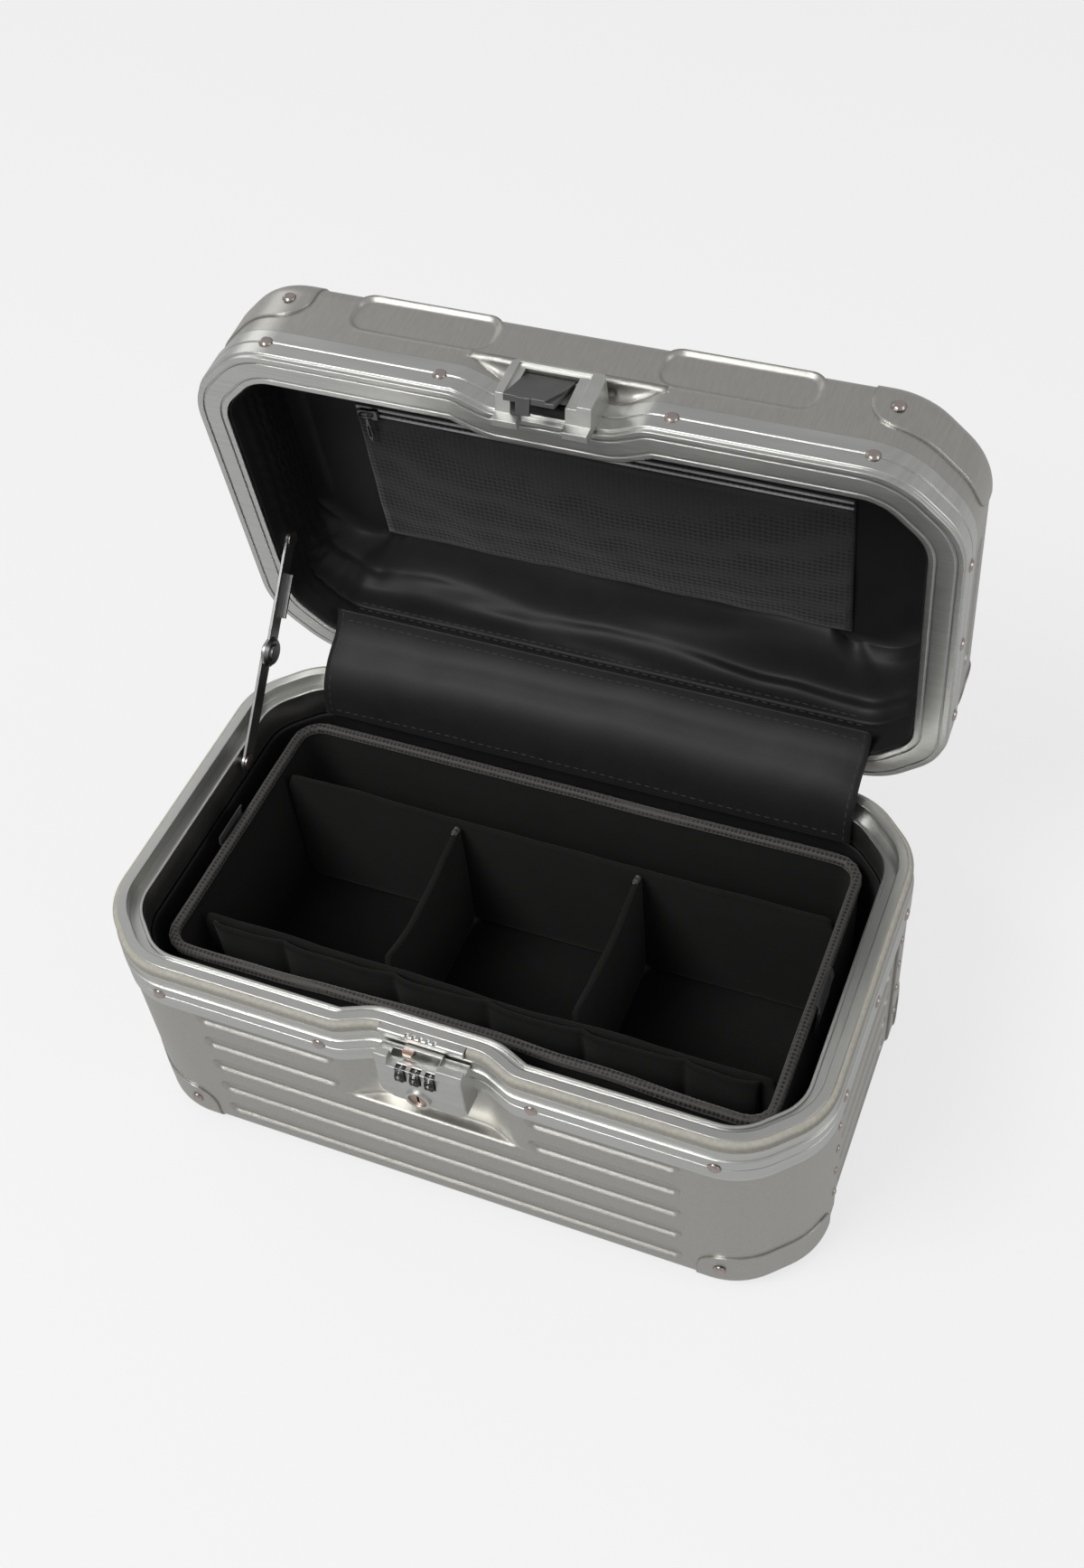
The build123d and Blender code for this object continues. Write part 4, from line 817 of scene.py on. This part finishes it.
def digits():
    """Each dial's ten numbers as one piece, bent round the dial."""
    r = DIAL_R + DIGIT_LIFT
    for i, tag in enumerate("abc"):
        cx = DIAL_X + (i - 1) * DIAL_PITCH
        verts, faces = [], []
        for k in range(10):
            me = digit_mesh(str(k))
            ang = 2 * math.pi * (k + i * 3) / 10 + math.pi / 2 + DIGIT_TURN
            base = len(verts)
            for v in me.vertices:
                a = ang + v.co.y / DIAL_R
                verts.append((cx + v.co.x, DIAL_Y + r * -math.sin(a), DIAL_Z + r * -math.cos(a)))
            for f in me.polygons:
                faces.append(tuple(base + q for q in f.vertices))
            bpy.data.meshes.remove(me)
        o = build("dial_numbers_" + tag, verts, faces, WHITE, "dial_" + tag, smooth=False)


digits()

# Camera: the photograph's place, direction and field of view; its focal length and long side in pixels
FOCAL_PIXELS, LONG_SIDE_PIXELS, SENSOR = 2003.92, 1735.0, 36.0
view_dir = Vector((-0.29662, 0.58925, -0.75153))
view_up = Vector((-0.23668, 0.71703, 0.65563))
cam_pos = Vector((259.28, -469.24, 805.17)) * MM

cam = bpy.data.cameras.new("camera")
cam.sensor_fit = "AUTO"
cam.sensor_width = SENSOR
cam.lens = FOCAL_PIXELS / LONG_SIDE_PIXELS * SENSOR
cam.clip_end = 20.0
cam_o = bpy.data.objects.new("camera", cam)
bpy.context.collection.objects.link(cam_o)
right = view_dir.cross(view_up).normalized()
up = right.cross(view_dir).normalized()
turn = Matrix((right, up, -view_dir.normalized())).transposed().to_4x4()
cam_o.matrix_world = Matrix.Translation(cam_pos) @ turn
bpy.context.scene.camera = cam_o

# Floor, world and lamps: the pale background comes from what the camera and gloss rays see
FLOOR_HALF = 9
FLOOR_TONE, FLOOR_SEEN, FLOOR_IN_GLOSS = 0.19, 0.72, 0.36
WORLD_LIGHT, WORLD_SEEN = 0.42, 0.888


def math_node(nodes, operation):
    node = nodes.new("ShaderNodeMath")
    node.operation = operation
    return node


def floor():
    s = FLOOR_HALF
    me = bpy.data.meshes.new("floor")
    me.from_pydata([(-s, -s, 0), (s, -s, 0), (s, s, 0), (-s, s, 0)], [], [(0, 1, 2, 3)])
    o = bpy.data.objects.new("floor", me)
    bpy.context.collection.objects.link(o)
    m = bpy.data.materials.new("floor_paper")
    m.use_nodes = True
    n, l = m.node_tree.nodes, m.node_tree.links
    n.clear()
    out = n.new("ShaderNodeOutputMaterial")
    dif = n.new("ShaderNodeBsdfDiffuse")
    dif.inputs["Color"].default_value = (FLOOR_TONE, FLOOR_TONE, FLOOR_TONE, 1)
    emi = n.new("ShaderNodeEmission")
    emi.inputs["Color"].default_value = (1, 1, 1, 1)
    rays = n.new("ShaderNodeLightPath")
    seen = math_node(n, "MULTIPLY")
    seen.inputs[1].default_value = FLOOR_SEEN
    l.new(rays.outputs["Is Camera Ray"], seen.inputs[0])
    glow = math_node(n, "MULTIPLY_ADD")
    glow.inputs[1].default_value = FLOOR_IN_GLOSS
    l.new(rays.outputs["Is Glossy Ray"], glow.inputs[0])
    l.new(seen.outputs[0], glow.inputs[2])
    l.new(glow.outputs[0], emi.inputs["Strength"])
    both = n.new("ShaderNodeAddShader")
    l.new(dif.outputs[0], both.inputs[0])
    l.new(emi.outputs[0], both.inputs[1])
    l.new(both.outputs[0], out.inputs["Surface"])
    me.materials.append(m)


def world():
    w = bpy.data.worlds.new("world")
    bpy.context.scene.world = w
    w.use_nodes = True
    n, l = w.node_tree.nodes, w.node_tree.links
    bg = n["Background"]
    bg.inputs["Color"].default_value = (1, 1, 1, 1)
    rays = n.new("ShaderNodeLightPath")
    seen = math_node(n, "MAXIMUM")
    l.new(rays.outputs["Is Camera Ray"], seen.inputs[0])
    l.new(rays.outputs["Is Transmission Ray"], seen.inputs[1])
    l.new(spread(n, l, seen.outputs[0], WORLD_LIGHT, WORLD_SEEN), bg.inputs["Strength"])


def lamp(name, pos, target, size, power, size_y=None):
    li = bpy.data.lights.new(name, "AREA")
    li.shape = "RECTANGLE"
    li.size = size
    li.size_y = size_y or size
    li.energy = power
    o = bpy.data.objects.new(name, li)
    bpy.context.collection.objects.link(o)
    o.location = pos
    o.rotation_euler = (Vector(target) - Vector(pos)).to_track_quat("-Z", "Y").to_euler()


floor()
world()
lamp("key_front_left", (-0.75, -1.15, 1.95), (0, 0, 0.1), 1.2, 32, 0.8)
lamp("rear_soft", (-1.7, 1.0, 1.2), (0, 0, 0.2), 1.0, 3)
lamp("side_right", (1.9, 0.0, 0.9), (0, 0, 0.1), 1.0, 6)

bpy.context.scene.view_settings.view_transform = "Standard"
